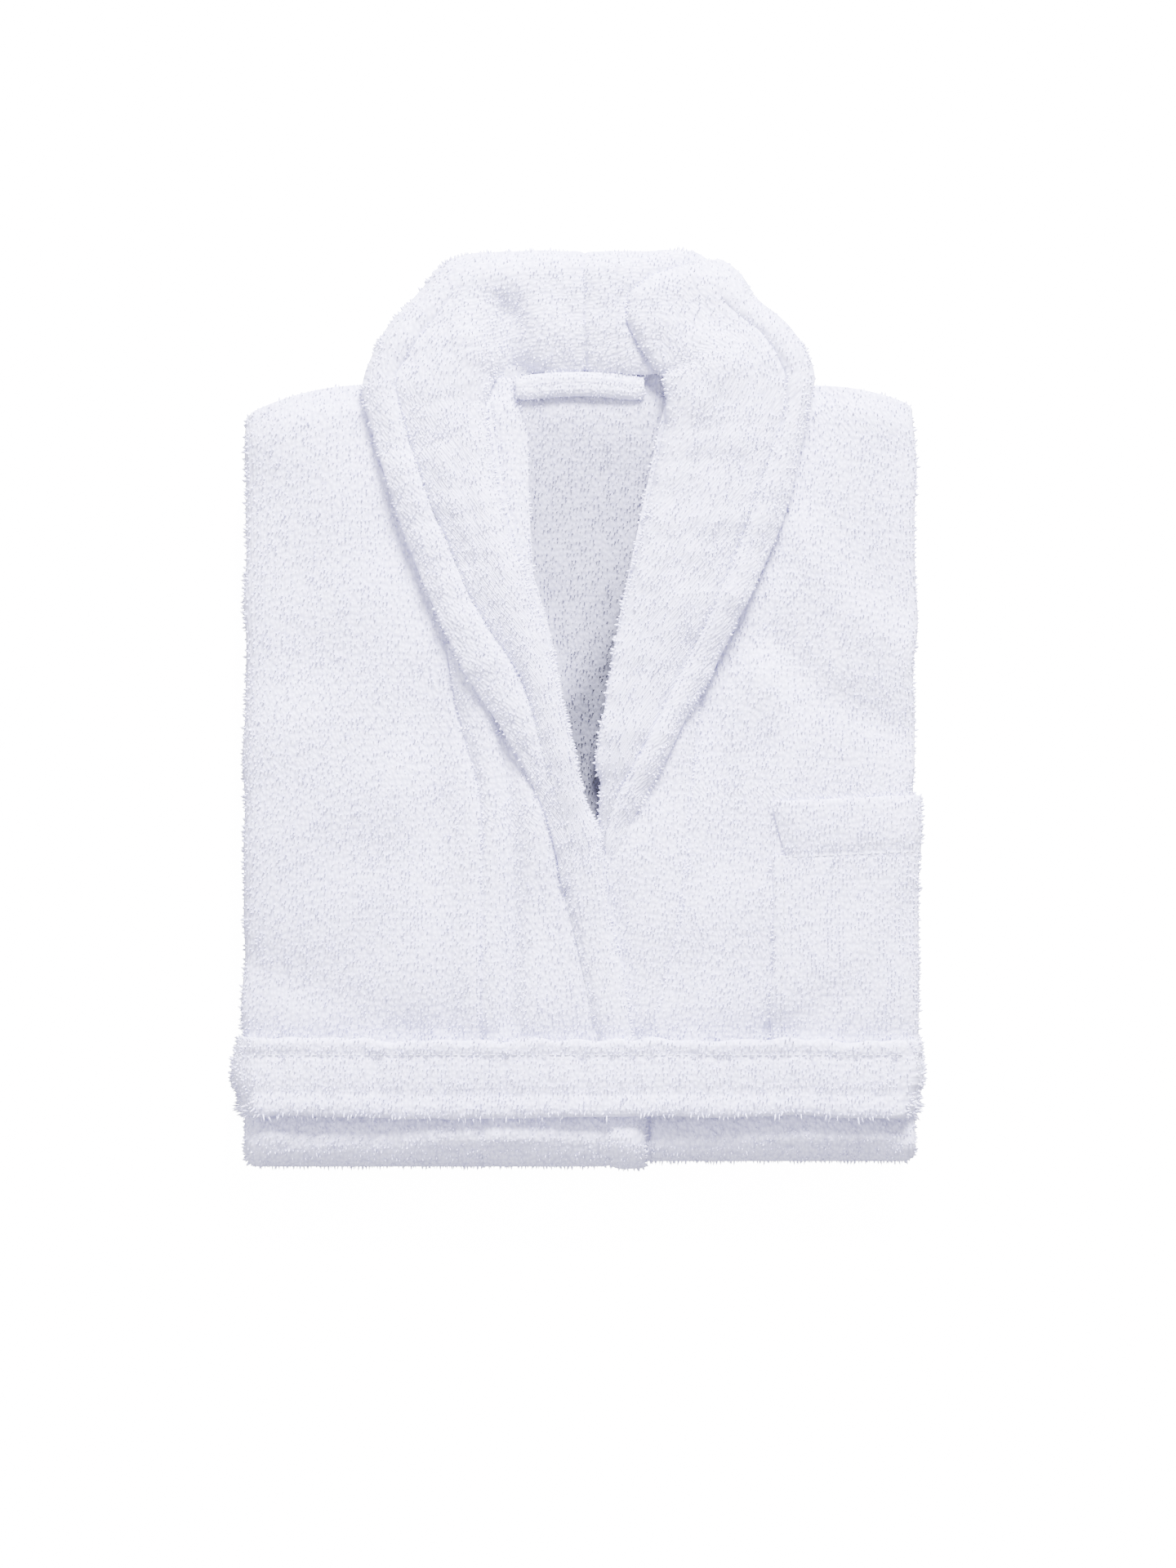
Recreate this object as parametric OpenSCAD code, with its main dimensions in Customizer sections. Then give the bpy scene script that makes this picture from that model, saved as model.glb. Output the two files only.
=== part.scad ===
// Folded terry bathrobe with a shawl collar, lying on its back.
// +X is the wearer's left, +Y points to the collar, +Z points up from the table.
// The cloth lies in levels: level 0 rests on the table and each level above it is one cloth higher.

/* [Folded bundle] */
// Width across the two side folds
body_w = 412.4; // [340:0.1:500]
// Length from the bottom fold to the top edge of the collar
overall_len = 562; // [470:1:680]
// Height of the flat back collar above the shoulder line
collar_rise = 82; // [72:1:100]
// Thickness of one pressed layer of terry
cloth_t = 3; // [2.5:0.1:3.4]
// Free space between neighbouring layers
clear = 0.3; // [0.25:0.05:0.4]
// Width of cloth folded behind at each side
side_turn = 129; // [90:1:150]
// Distance of the upper back fold below the shoulder line
back_fold_drop = 12; // [6:1:30]
// Length of the hem part that is turned back underneath
hem_turn = 337; // [250:1:345]

/* [Fronts and bands] */
// Half width of the neck opening at the shoulder line
neck_half = 57; // [45:1:70]
// Length of the neck opening below the shoulder line
v_depth = 273; // [220:1:300]
// Place of the opening's lowest point, from the centre line
v_x = 12; // [0:1:25]
// Height of the left roll line's low end above the opening's lowest point
left_roll_rise = 30; // [20:1:50]
// Place of the left roll line's low end, from the centre line
left_roll_x = 5; // [0:1:12]
// Place of the right front's free edge at the bottom fold
lap_edge_x = 39; // [30:1:60]
// Distance of both band seams from the centre line at the shoulder
seam_neck_x = 85; // [75:1:100]
// Distance of the right band seam from the centre line below the lapel
right_seam_x = 60; // [50:1:72]
// Distance of the left band seam from the centre line below the belt
left_seam_x = 44; // [40:1:60]
// How far the left front reaches under the right one
under_lap = 45; // [25:1:48]

/* [Collar] */
// Half width of the collar's flat top edge
collar_top_half = 75; // [60:1:90]
// Half width of the collar at the shoulder line
collar_base_half = 124; // [112:1:134]
// Width of the right lapel at the shoulder line
right_lapel_w = 74; // [60:1:90]
// Width of the left lapel at the shoulder line
left_lapel_w = 84; // [64:1:96]
// Width of each lapel where it runs out at the low end
lapel_tail_w = 28; // [20:1:36]
// Place of the centre back seam
seam_cb_x = 3; // [-10:1:10]

/* [Hanging loop] */
// Length of the loop between its sewn ends
loop_len = 76; // [60:1:90]
// Width of the loop's strip
loop_w = 16; // [12:0.5:16]
// Room under the loop for a hook
loop_gap = 4.6; // [4.5:0.1:6]
// Length of each sewn end
loop_foot = 7; // [5:0.5:10]
// Distance from the shoulder line to the back neck seam
neck_rise = 8; // [4:1:12]

/* [Pocket] */
// Distance of the pocket's inner edge from the centre line
pocket_x = 118; // [100:1:135]
// Distance of the pocket's mouth below the shoulder line
pocket_drop = 256; // [230:1:262]
// Length of the pocket with its cuff
pocket_len = 138; // [120:1:140]
// Height of the cuff band
pocket_cuff_h = 36; // [28:1:45]
// Slack inside the pocket
pocket_gap = 4.6; // [4.5:0.1:6]
// How far down the side fold the pocket reaches, measured from its top face
pocket_side = 36; // [24:1:38]

/* [Belt] */
// Width of the belt
belt_w = 48; // [40:1:60]
// Thickness of the two belt turns together
belt_t = 6; // [5:0.1:6.2]
// Distance of the belt's lower edge from the bottom fold
belt_up = 32; // [24:1:36]
// Length of each belt loop on the side seams
belt_loop_len = 70; // [60:1:80]
// Width of each belt loop
belt_loop_w = 10; // [8:1:12]

/* [Sleeves] */
// Width of a sleeve pressed flat
sleeve_w = 186; // [150:1:190]
// Length of a sleeve without its cuff
sleeve_len = 330; // [280:1:340]
// Length of the cuff band
cuff_len = 80; // [60:1:90]

/* [Hidden] */

pitch = cloth_t + clear;
// Levels, counted from the table
HEM_BACK = 0;
HEM_FRONT = 1;
SLEEVE_LOW = 7;
FRONT_FLAP = 9;
BACK_FLAP = 10;
BACK = 11;
LEFT_FRONT = 12;
RIGHT_FRONT = 13;
FOLD_SUM = 15;  // a layer on level n comes back under the fold on level FOLD_SUM - n

function level_z(n) = n * pitch;
function top_z(n) = n * pitch + cloth_t;
function fold_r(high, low) = (top_z(high) - level_z(low)) / 2;
function fold_mid(high, low) = (top_z(high) + level_z(low)) / 2;

// Main places along Y
y_top = overall_len / 2;
y_bottom = -overall_len / 2;
y_shoulder = y_top - collar_rise;
fold_z = fold_mid(RIGHT_FRONT, FOLD_SUM - RIGHT_FRONT);
y_fold = y_bottom + fold_r(RIGHT_FRONT, FOLD_SUM - RIGHT_FRONT);
back_fold_r = fold_r(FOLD_SUM - BACK, HEM_BACK);
y_back_fold = y_shoulder - back_fold_drop - back_fold_r;
y_hem = y_back_fold - hem_turn + back_fold_r;
y_v = y_shoulder - v_depth;
y_neck = y_shoulder + neck_rise;
y_belt = y_bottom + belt_up;

// Side folds
side_x = body_w / 2;
right_fold_r = fold_r(RIGHT_FRONT, FRONT_FLAP);
left_fold_r = fold_r(LEFT_FRONT, FRONT_FLAP);
side_fold_r = fold_r(BACK, BACK_FLAP);
inner_side_x = side_x - right_fold_r;
flap_x = side_x - side_turn;

// Roll lines of the lapels, from the neck down
right_neck = [-neck_half, y_shoulder];
right_low = [v_x, y_v];
left_neck = [neck_half, y_shoulder];
left_low = [left_roll_x, y_v + left_roll_rise];
roll_out = 49;       // how far a lapel runs on above the shoulder line
corner_in = 0.4;     // how far its upper corner leans in, as a share of its width
lapel_bend = 1.7;    // how fast a lapel narrows towards its low end
lapel_steps = 12;
left_tail_cut = 0.86;  // the left lapel turns only above this share of its roll line

function unit(v) = v / norm(v);
// Point on a lapel's free edge at the share f of its roll line; side is -1 or 1
function edge_point(a, b, w, side, f) =
    let(d = unit(b - a), n = side * [-d[1], d[0]],
        reach = w - (w - lapel_tail_w) * pow(f, lapel_bend))
    a + (b - a) * f + n * reach;
function on_line(a, b, y) = a[0] + (b[0] - a[0]) * (y - a[1]) / (b[1] - a[1]);

// Outline of a lapel from its roll line to its free edge
function lapel_outline(a, b, w, side, cut) =
    let(up = a + unit(a - b) * roll_out, corner = unit(a - b) * (roll_out - 3))
    concat([a + (b - a) * cut, up],
           [edge_point(a, b, w, side, 0) + corner - [side * corner_in * w, 0]],
           [for (i = [0 : lapel_steps]) edge_point(a, b, w, side, cut * i / lapel_steps)]);

// ---------- shared shapes ----------

// Half ring that bulges towards -X, in the X-height plane
module side_ring(x, mid, r) {
    translate([x, mid]) intersection() {
        difference() {
            circle(r = r, $fn = 48);
            circle(r = r - cloth_t, $fn = 48);
        }
        translate([-2 * r, -2 * r]) square([2 * r, 4 * r]);
    }
}

// One pressed layer in the X-height plane
module layer(x0, x1, n) {
    translate([x0, level_z(n) - fold_z]) square([x1 - x0, cloth_t]);
}

// Front panel's section: its face, the side fold and the part turned behind
module front_section(n, seam, r) {
    layer(-side_x + r, -seam, n);
    layer(-side_x + r, -flap_x, FRONT_FLAP);
    side_ring(-side_x + r, fold_mid(n, FRONT_FLAP) - fold_z, r);
}

module back_section() {
    layer(-inner_side_x, inner_side_x, BACK);
    for (s = [0, 1]) mirror([s, 0]) {
        layer(-inner_side_x, -flap_x, BACK_FLAP);
        side_ring(-inner_side_x, fold_mid(BACK, BACK_FLAP) - fold_z, side_fold_r);
    }
}

// A section run from y1 down to the bottom fold
module run(y1) {
    translate([0, y1, fold_z]) rotate([90, 0, 0])
        linear_extrude(y1 - y_fold) children();
}

// A section turned half round the bottom fold
module bottom_turn() {
    translate([0, y_fold, fold_z]) rotate(a = 180, v = [1, 0, 1])
        rotate_extrude(angle = 180, $fn = 96) mirror([1, -1]) children();
}

// The part behind the fold, up to the back fold
module under_run() {
    translate([0, y_back_fold, fold_z]) mirror([0, 0, 1]) rotate([90, 0, 0])
        linear_extrude(y_back_fold - y_fold) children();
}

// The hem part, turned back under the bundle at the upper back fold
module hem_turned(x0, x1, from_level, hem_level) {
    r = fold_r(from_level, hem_level);
    translate([x0, y_back_fold, fold_mid(from_level, hem_level)])
        rotate([90, 0, 90]) linear_extrude(x1 - x0) intersection() {
            difference() {
                circle(r = r, $fn = 48);
                circle(r = r - cloth_t, $fn = 48);
            }
            translate([0, -2 * r]) square([2 * r, 4 * r]);
        }
    translate([x0, y_hem, level_z(hem_level)])
        cube([x1 - x0, y_back_fold - y_hem, cloth_t]);
}

// Upright block over a plan outline, used to trim the upper run
module over(points) {
    translate([0, 0, fold_z]) linear_extrude(3 * fold_z) polygon(points);
}

// A flat piece of cloth on level n with a plan outline
module flat_piece(points, n, layers = 1) {
    translate([0, 0, level_z(n)])
        linear_extrude((layers - 1) * pitch + cloth_t) polygon(points);
}

// ---------- body of the robe ----------

shoulder_drop = 24;   // the shoulder line falls this much towards the side fold
neck_curve = 16;      // the back neck edge comes in this much above the shoulder line

module back_panel() {
    color("#e2e3ec") {
        intersection() {
            run(y_neck - clear) back_section();
            over([[-inner_side_x - side_fold_r, y_fold], [inner_side_x + side_fold_r, y_fold],
                  [inner_side_x + side_fold_r, y_shoulder - shoulder_drop],
                  [neck_half, y_shoulder], [neck_half - neck_curve, y_neck],
                  [-neck_half + neck_curve, y_neck], [-neck_half, y_shoulder],
                  [-inner_side_x - side_fold_r, y_shoulder - shoulder_drop]]);
        }
        bottom_turn() back_section();
        under_run() back_section();
        hem_turned(-inner_side_x, inner_side_x, FOLD_SUM - BACK, HEM_BACK);
    }
}

module right_front() {
    color("#f1f2fa") {
        intersection() {
            run(y_shoulder) front_section(RIGHT_FRONT, right_seam_x, right_fold_r);
            over([[-side_x, y_fold], [-right_seam_x, y_fold], [-right_seam_x, y_v],
                  [-seam_neck_x, y_shoulder], [-side_x * 0.63, y_shoulder],
                  [-side_x * 0.92, y_shoulder - shoulder_drop / 2],
                  [-side_x, y_shoulder - shoulder_drop]]);
        }
        bottom_turn() front_section(RIGHT_FRONT, right_seam_x, right_fold_r);
        under_run() front_section(RIGHT_FRONT, right_seam_x, right_fold_r);
        hem_turned(-inner_side_x, -right_seam_x, FOLD_SUM - RIGHT_FRONT, HEM_FRONT);
    }
}

module left_front() {
    color("#ecedf6") {
        intersection() {
            run(y_shoulder) mirror([1, 0])
                front_section(LEFT_FRONT, left_seam_x, left_fold_r);
            over([[side_x, y_fold], [left_seam_x, y_fold], [left_seam_x, y_belt + belt_w],
                  [seam_neck_x * 0.78, y_v], [seam_neck_x, y_shoulder],
                  [side_x * 0.8, y_shoulder], [side_x * 0.93, y_shoulder - shoulder_drop / 3],
                  [side_x, y_shoulder - shoulder_drop]]);
        }
        bottom_turn() mirror([1, 0])
            front_section(LEFT_FRONT, left_seam_x, left_fold_r);
        under_run() mirror([1, 0])
            front_section(LEFT_FRONT, left_seam_x, left_fold_r);
        hem_turned(left_seam_x, inner_side_x, FOLD_SUM - LEFT_FRONT, HEM_FRONT);
    }
}

// Front edge band of the right front; its free edge shows
module right_front_band() {
    color("#f4f5fc") {
        intersection() {
            run(y_shoulder) layer(-seam_neck_x, lap_edge_x, RIGHT_FRONT);
            over([[-right_seam_x + clear, y_fold], [lap_edge_x, y_fold], right_low,
                  right_neck, [-seam_neck_x + clear, y_shoulder],
                  [-right_seam_x + clear, y_v]]);
        }
        bottom_turn() layer(-right_seam_x + clear, lap_edge_x, RIGHT_FRONT);
        under_run() layer(-right_seam_x + clear, lap_edge_x, RIGHT_FRONT);
        hem_turned(-right_seam_x + clear, lap_edge_x, FOLD_SUM - RIGHT_FRONT, HEM_FRONT);
    }
}

// Front edge band of the left front; its free edge lies under the right one
module left_front_band() {
    color("#eeeff8") {
        intersection() {
            run(y_shoulder) layer(-under_lap, seam_neck_x, LEFT_FRONT);
            over([[left_seam_x - clear, y_fold], [-under_lap, y_fold], [-under_lap, y_belt + belt_w],
                  left_low, left_neck, [seam_neck_x - clear, y_shoulder],
                  [seam_neck_x * 0.78 - clear, y_v], [left_seam_x - clear, y_belt + belt_w]]);
        }
        bottom_turn() layer(-under_lap, left_seam_x - clear, LEFT_FRONT);
        under_run() layer(-under_lap, left_seam_x - clear, LEFT_FRONT);
    }
}

// ---------- collar ----------

// Room that the hanging loop needs between the neck seam and the collar's edge
collar_gap = cloth_t + clear;

// Back neck half of the shawl collar, doubled, up to the centre back seam
module collar_half(side, seam_x) {
    y0 = y_neck + collar_gap;
    corner_y = y_shoulder + roll_out;
    flat_piece([[seam_x, y0], [seam_x, y_top], [side * collar_top_half, y_top],
                [side * (collar_top_half + collar_base_half) / 2, corner_y],
                [side * collar_base_half, y_shoulder + 2 * clear],
                [side * (neck_half + 3), y_shoulder + 2 * clear],
                [side * (neck_half - neck_curve + 3), y0]], BACK, 2);
}

module right_collar() {
    color("#eceef6") collar_half(-1, seam_cb_x - clear / 2);
}

module left_collar() {
    color("#eceef6") collar_half(1, seam_cb_x + clear / 2);
}

module right_lapel() {
    color("#f3f4fb")
        flat_piece(lapel_outline(right_neck, right_low, right_lapel_w, -1, 1), RIGHT_FRONT + 2);
}

module right_lapel_under() {
    color("#dfe1ea")
        flat_piece(lapel_outline(right_neck, right_low, right_lapel_w, -1, 1), RIGHT_FRONT + 1);
}

module left_lapel() {
    color("#f3f4fb")
        flat_piece(lapel_outline(left_neck, left_low, left_lapel_w, 1, left_tail_cut),
                   LEFT_FRONT + 2);
}

module left_lapel_under() {
    color("#dfe1ea")
        flat_piece(lapel_outline(left_neck, left_low, left_lapel_w, 1, left_tail_cut),
                   LEFT_FRONT + 1);
}

// ---------- small pieces ----------

// Hanging loop: two sewn feet and a bowed strip between them
module hanging_loop() {
    z0 = top_z(BACK) + clear;
    color("#e6e7f0") translate([-loop_len / 2, y_neck - loop_w, z0]) {
        difference() {
            cube([loop_len, loop_w, loop_gap + cloth_t]);
            translate([loop_foot, -1, -1])
                cube([loop_len - 2 * loop_foot, loop_w + 2, loop_gap + 1]);
        }
    }
}

pocket_face = top_z(LEFT_FRONT) + pocket_gap + cloth_t;
pocket_outer_x = side_x + clear + cloth_t;
pocket_round = 10;
pocket_y1 = y_shoulder - pocket_drop;

// Solid corner shape of the pocket in the X-height plane, shrunk by inset
module pocket_shape(inset) {
    x1 = pocket_outer_x - inset;
    z1 = pocket_face - inset;
    r = pocket_round - inset;
    translate([pocket_x + inset, 0]) square([x1 - r - pocket_x - inset, z1]);
    translate([x1 - 2 * r, 0]) square([2 * r, z1 - r]);
    translate([x1 - r, z1 - r]) circle(r = r, $fn = 48);
}

// Pocket wall between two places along Y; it stands on the left front's face and side
module pocket_wall(y0, y1) {
    translate([0, y1, 0]) rotate([90, 0, 0]) linear_extrude(y1 - y0) difference() {
        pocket_shape(0);
        pocket_shape(cloth_t);
        translate([0, -1]) square([side_x + clear, top_z(LEFT_FRONT) + clear + 1]);
        translate([side_x, -1]) square([3 * cloth_t, pocket_face - pocket_side + 1]);
    }
}

module pocket() {
    y0 = pocket_y1 - pocket_len;
    color("#f0f1fa") {
        pocket_wall(y0, pocket_y1 - pocket_cuff_h - clear);
        translate([pocket_x, y0, top_z(LEFT_FRONT) + clear])
            cube([side_x - pocket_round - pocket_x, cloth_t, pocket_gap]);
    }
}

module pocket_cuff() {
    color("#e8e9f3") pocket_wall(pocket_y1 - pocket_cuff_h, pocket_y1);
}

// Belt wound round the bundle; the turns lie flat on one another
module belt() {
    low = level_z(FOLD_SUM - RIGHT_FRONT) - clear;
    high = top_z(RIGHT_FRONT) + clear;
    inner_w = body_w + 2 * clear;
    r = right_fold_r;
    color("#f6f6fd") translate([0, y_belt + belt_w, 0]) rotate([90, 0, 0])
        linear_extrude(belt_w) difference() {
            round_box(inner_w + 2 * belt_t, low - belt_t, high + belt_t, r + belt_t);
            round_box(inner_w, low, high, r);
        }
}

module round_box(w, z0, z1, r) {
    translate([-w / 2 + r, z0]) square([w - 2 * r, z1 - z0]);
    translate([-w / 2, z0 + r]) square([w, z1 - z0 - 2 * r]);
    for (x = [-w / 2 + r, w / 2 - r], z = [z0 + r, z1 - r])
        translate([x, z]) circle(r = r, $fn = 64);
}

// Belt loop on a side seam, folded behind with the side
module belt_loop() {
    translate([flap_x - clear - belt_loop_w, y_belt, level_z(FRONT_FLAP)])
        cube([belt_loop_w, belt_loop_len, cloth_t]);
}

module right_belt_loop() {
    color("#dcdde6") mirror([1, 0, 0]) belt_loop();
}

module left_belt_loop() {
    color("#dcdde6") belt_loop();
}

// ---------- sleeves, folded down behind the back ----------

sleeve_in = (inner_side_x - sleeve_w) / 2;
sleeve_y1 = y_shoulder - shoulder_drop;

// A tube of cloth pressed flat between two levels
module flat_tube(y0, y1) {
    h = pitch + cloth_t;
    translate([sleeve_in, y1, level_z(SLEEVE_LOW)]) rotate([90, 0, 0])
        linear_extrude(y1 - y0) difference() {
            union() {
                translate([h / 2, 0]) square([sleeve_w - h, h]);
                for (x = [h / 2, sleeve_w - h / 2])
                    translate([x, h / 2]) circle(r = h / 2, $fn = 32);
            }
            translate([h / 2, cloth_t]) square([sleeve_w - h, clear]);
        }
}

module sleeve() {
    flat_tube(sleeve_y1 - sleeve_len, sleeve_y1);
}

module sleeve_cuff() {
    y1 = sleeve_y1 - sleeve_len - clear;
    flat_tube(y1 - cuff_len, y1);
}

module right_sleeve() {
    color("#e4e5ee") mirror([1, 0, 0]) sleeve();
}

module left_sleeve() {
    color("#e4e5ee") sleeve();
}

module right_cuff() {
    color("#dadbe5") mirror([1, 0, 0]) sleeve_cuff();
}

module left_cuff() {
    color("#dadbe5") sleeve_cuff();
}

back_panel();
right_front();
left_front();
right_front_band();
left_front_band();
right_collar();
left_collar();
right_lapel();
right_lapel_under();
left_lapel();
left_lapel_under();
hanging_loop();
pocket();
pocket_cuff();
belt();
right_belt_loop();
left_belt_loop();
right_sleeve();
left_sleeve();
right_cuff();
left_cuff();
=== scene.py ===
"""Folded terry bathrobe: cloth pieces, pile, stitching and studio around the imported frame."""
import math

import bpy
import numpy as np
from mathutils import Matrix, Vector


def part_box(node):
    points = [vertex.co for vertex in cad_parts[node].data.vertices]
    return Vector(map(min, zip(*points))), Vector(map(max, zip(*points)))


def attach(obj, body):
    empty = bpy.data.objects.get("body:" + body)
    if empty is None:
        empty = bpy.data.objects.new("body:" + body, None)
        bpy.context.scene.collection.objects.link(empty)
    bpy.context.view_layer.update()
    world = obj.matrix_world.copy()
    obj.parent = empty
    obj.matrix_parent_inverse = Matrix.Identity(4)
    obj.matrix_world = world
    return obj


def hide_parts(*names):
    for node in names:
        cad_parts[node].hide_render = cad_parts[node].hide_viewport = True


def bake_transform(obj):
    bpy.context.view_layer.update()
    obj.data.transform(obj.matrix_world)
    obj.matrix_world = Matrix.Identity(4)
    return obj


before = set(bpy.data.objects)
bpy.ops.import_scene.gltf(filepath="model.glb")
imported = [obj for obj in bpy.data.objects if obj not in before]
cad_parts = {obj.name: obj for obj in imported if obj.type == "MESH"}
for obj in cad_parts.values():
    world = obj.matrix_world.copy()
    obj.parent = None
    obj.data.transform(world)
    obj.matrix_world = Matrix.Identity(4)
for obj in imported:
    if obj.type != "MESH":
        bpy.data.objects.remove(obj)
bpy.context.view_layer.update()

bl_info = {
    "name": "Folded Terry Bathrobe",
    "version": (1, 0, 0),
    "blender": (4, 5, 0),
    "location": "View3D > Sidebar > Bathrobe",
    "description": "Builds the cloth, pile and stitching of a folded bathrobe on its frame",
    "category": "Object",
}

MM = 0.001
MADE = {}  # finishes and node trees, made once for all operators


# ---------- places taken from the frame, in millimetres ----------

def corner(node, side):
    """Lowest (0) or highest (1) corner of a CAD node in millimetres."""
    return np.array(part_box(node)[side]) / MM


PITCH = corner("right_front", 1)[2] - corner("left_front", 1)[2]
CLOTH = corner("right_lapel", 1)[2] - corner("right_lapel", 0)[2]
TOP = corner("right_front", 1)[2]
Y_LOW, Y_SHOULDER = corner("right_front", 0)[1], corner("right_front", 1)[1]
Y_NECK = corner("hanging_loop", 1)[1]
BELT_LOW, BELT_HIGH = corner("belt", 0)[1], corner("belt", 1)[1]
BELT_STITCH_Y = BELT_HIGH - 9.5
SIDE_X = corner("left_front", 1)[0]
FLAP_X = corner("left_belt_loop", 1)[0] + 0.3
FOLD_SUM = 15  # a cloth on level k turns round the bottom fold to level 15 - k
LEVEL = {"hem_back": 0, "hem_front": 1, "sleeve_under": 7, "sleeve_top": 8, "front_flap": 9,
         "back_flap": 10, "back": 11, "left_front": 12, "right_front": 13}
FOLD_Z = (FOLD_SUM * PITCH + CLOTH) / 2
Y_FOLD = Y_LOW + TOP - FOLD_Z
Y_HEM_FOLD, Y_HEM = 178.9, -150.0


def mid_z(level):
    """Height of the middle of the cloth on a level."""
    return level * PITCH + CLOTH / 2


# ---------- small maths ----------

def lerp(a, b, t):
    return a + (b - a) * t


def smooth(a, b, x):
    """0 before a, 1 after b, and an even rise between."""
    t = np.clip((x - a) / (b - a), 0, 1)
    return t * t * (3 - 2 * t)


def bell(x, width):
    return np.exp(-(x / width) ** 2)


def at_y(points, y):
    """X of a line given as (x, y) points, at height y, straight between its points."""
    line = np.array(sorted(points, key=lambda p: p[1]), float)
    return np.interp(y, line[:, 1], line[:, 0])


def catmull(points, n):
    """A smooth curve through rows of given values, n steps from one row to the next."""
    p = np.array(points, float)
    p = np.vstack([2 * p[0] - p[1], p, 2 * p[-1] - p[-2]])
    t = np.linspace(0, 1, n, endpoint=False)[:, None]
    fine = [0.5 * (2 * b + (c - a) * t + (2 * a - 5 * b + 4 * c - d) * t ** 2
                   + (3 * b - a - 3 * c + d) * t ** 3) for a, b, c, d in zip(p, p[1:], p[2:], p[3:])]
    return np.vstack(fine + [p[-2][None]])


def steps(points):
    """Length of each step along a row of points."""
    return np.linalg.norm(np.diff(points, axis=0), axis=1)


def resample(fine, travel, step, more=0):
    """Rows of a curve about step apart, where travel is the length of each of its own steps."""
    run = np.concatenate([[0], np.cumsum(travel)])
    at = np.linspace(0, run[-1], int(run[-1] / step) + more)
    return np.stack([np.interp(at, run, column) for column in fine.T], axis=1)


def grid_of(x, y, z):
    """Grid of points from three arrays that spread to one shape."""
    return np.stack(np.broadcast_arrays(x, y, z), axis=-1)


def to_line(x, y, points):
    """Distance of every (x, y) from a line of points."""
    p = np.array(points, float)
    best = np.full(np.shape(x), 1e9)
    for a, b in zip(p[:-1], p[1:]):
        d = b - a
        t = np.clip(((x - a[0]) * d[0] + (y - a[1]) * d[1]) / (d @ d), 0, 1)
        best = np.minimum(best, np.hypot(x - a[0] - t * d[0], y - a[1] - t * d[1]))
    return best


def drift(x, y, seed, size):
    """Slow even noise, about -1 to 1, whose waves are about size long."""
    r = np.random.default_rng(seed)
    total = 0
    for _ in range(7):
        turn, phase = r.uniform(0, 2 * math.pi, 2)
        wave = 2 * math.pi / (size * r.uniform(0.6, 1.5))
        total = total + np.sin((x * math.cos(turn) + y * math.sin(turn)) * wave + phase)
    return total / 3.2


# ---------- cloth as closed pieces ----------

RIM = 5  # bands round a cloth's edge


def slab(mid, half, pile=1.0, nap=1.0, side=1, under=0.0):
    """A closed piece of cloth round a grid of middle points, with a round rim.
    pile is how thickly the loops stand on its face, nap how long they are, under the
    pile of its back. side is -1 for a grid whose rows run the other way."""
    m, n, _ = mid.shape
    half, pile, nap = (np.broadcast_to(np.asarray(v, float), (m, n)) for v in (half, pile, nap))
    if side < 0:
        mid, half, pile, nap = mid[::-1], half[::-1], pile[::-1], nap[::-1]
    face = np.cross(np.gradient(mid, axis=0), np.gradient(mid, axis=1))
    face /= np.maximum(np.linalg.norm(face, axis=2, keepdims=True), 1e-9)
    ids = np.arange(m * n).reshape(m, n)
    loop = np.concatenate([ids[:, 0], ids[-1, 1:], ids[-2::-1, -1], ids[0, -2:0:-1]])
    flat_mid, flat_face, flat_half = mid.reshape(-1, 3), face.reshape(-1, 3), half.reshape(-1, 1)
    p, f, h = flat_mid[loop], flat_face[loop], flat_half[loop]
    run = np.roll(p, -1, axis=0) - np.roll(p, 1, axis=0)
    out = np.cross(run, f)
    out /= np.maximum(np.linalg.norm(out, axis=1, keepdims=True), 1e-9)
    points = [flat_mid + flat_face * flat_half, flat_mid - flat_face * flat_half]
    for k in range(1, RIM):
        turn = math.pi * k / RIM
        points.append(p + f * h * math.cos(turn) + out * h * math.sin(turn))
    quad = np.stack([ids[:-1, :-1], ids[1:, :-1], ids[1:, 1:], ids[:-1, 1:]], axis=-1).reshape(-1, 4)
    faces = [quad, quad[:, ::-1] + m * n]
    rings = [loop] + [2 * m * n + k * len(loop) + np.arange(len(loop)) for k in range(RIM - 1)]
    rings.append(loop + m * n)
    for a, b in zip(rings[:-1], rings[1:]):
        faces.append(np.stack([a, b, np.roll(b, -1), np.roll(a, -1)], axis=1))
    across = np.linalg.norm(np.diff(mid, axis=0), axis=2)
    along = np.linalg.norm(np.diff(mid, axis=1), axis=2)
    u = np.concatenate([np.zeros((1, n)), np.cumsum(across, axis=0)])
    v = np.concatenate([np.zeros((m, 1)), np.cumsum(along, axis=1)], axis=1)
    uv = np.stack([u, v], axis=-1).reshape(-1, 2)
    pile, nap = pile.reshape(-1), nap.reshape(-1)
    return {
        "points": np.concatenate(points),
        "faces": np.concatenate(faces),
        "pile": np.concatenate([pile, np.full(m * n, under)] + [pile[loop]] * (RIM - 1)),
        "nap": np.concatenate([nap, nap] + [nap[loop]] * (RIM - 1)),
        "uv": np.concatenate([uv, uv] + [uv[loop]] * (RIM - 1)),
    }


def bare_mesh(name, points, faces, edges=()):
    mesh = bpy.data.meshes.new(name)
    mesh.from_pydata((np.asarray(points) * MM).tolist(), edges,
                     np.asarray(faces).tolist() if len(faces) else [])
    return mesh


def show(name, mesh, material):
    obj = bpy.data.objects.new(name, mesh)
    bpy.context.scene.collection.objects.link(obj)
    mesh.materials.clear()
    mesh.materials.append(material)
    return obj


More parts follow.
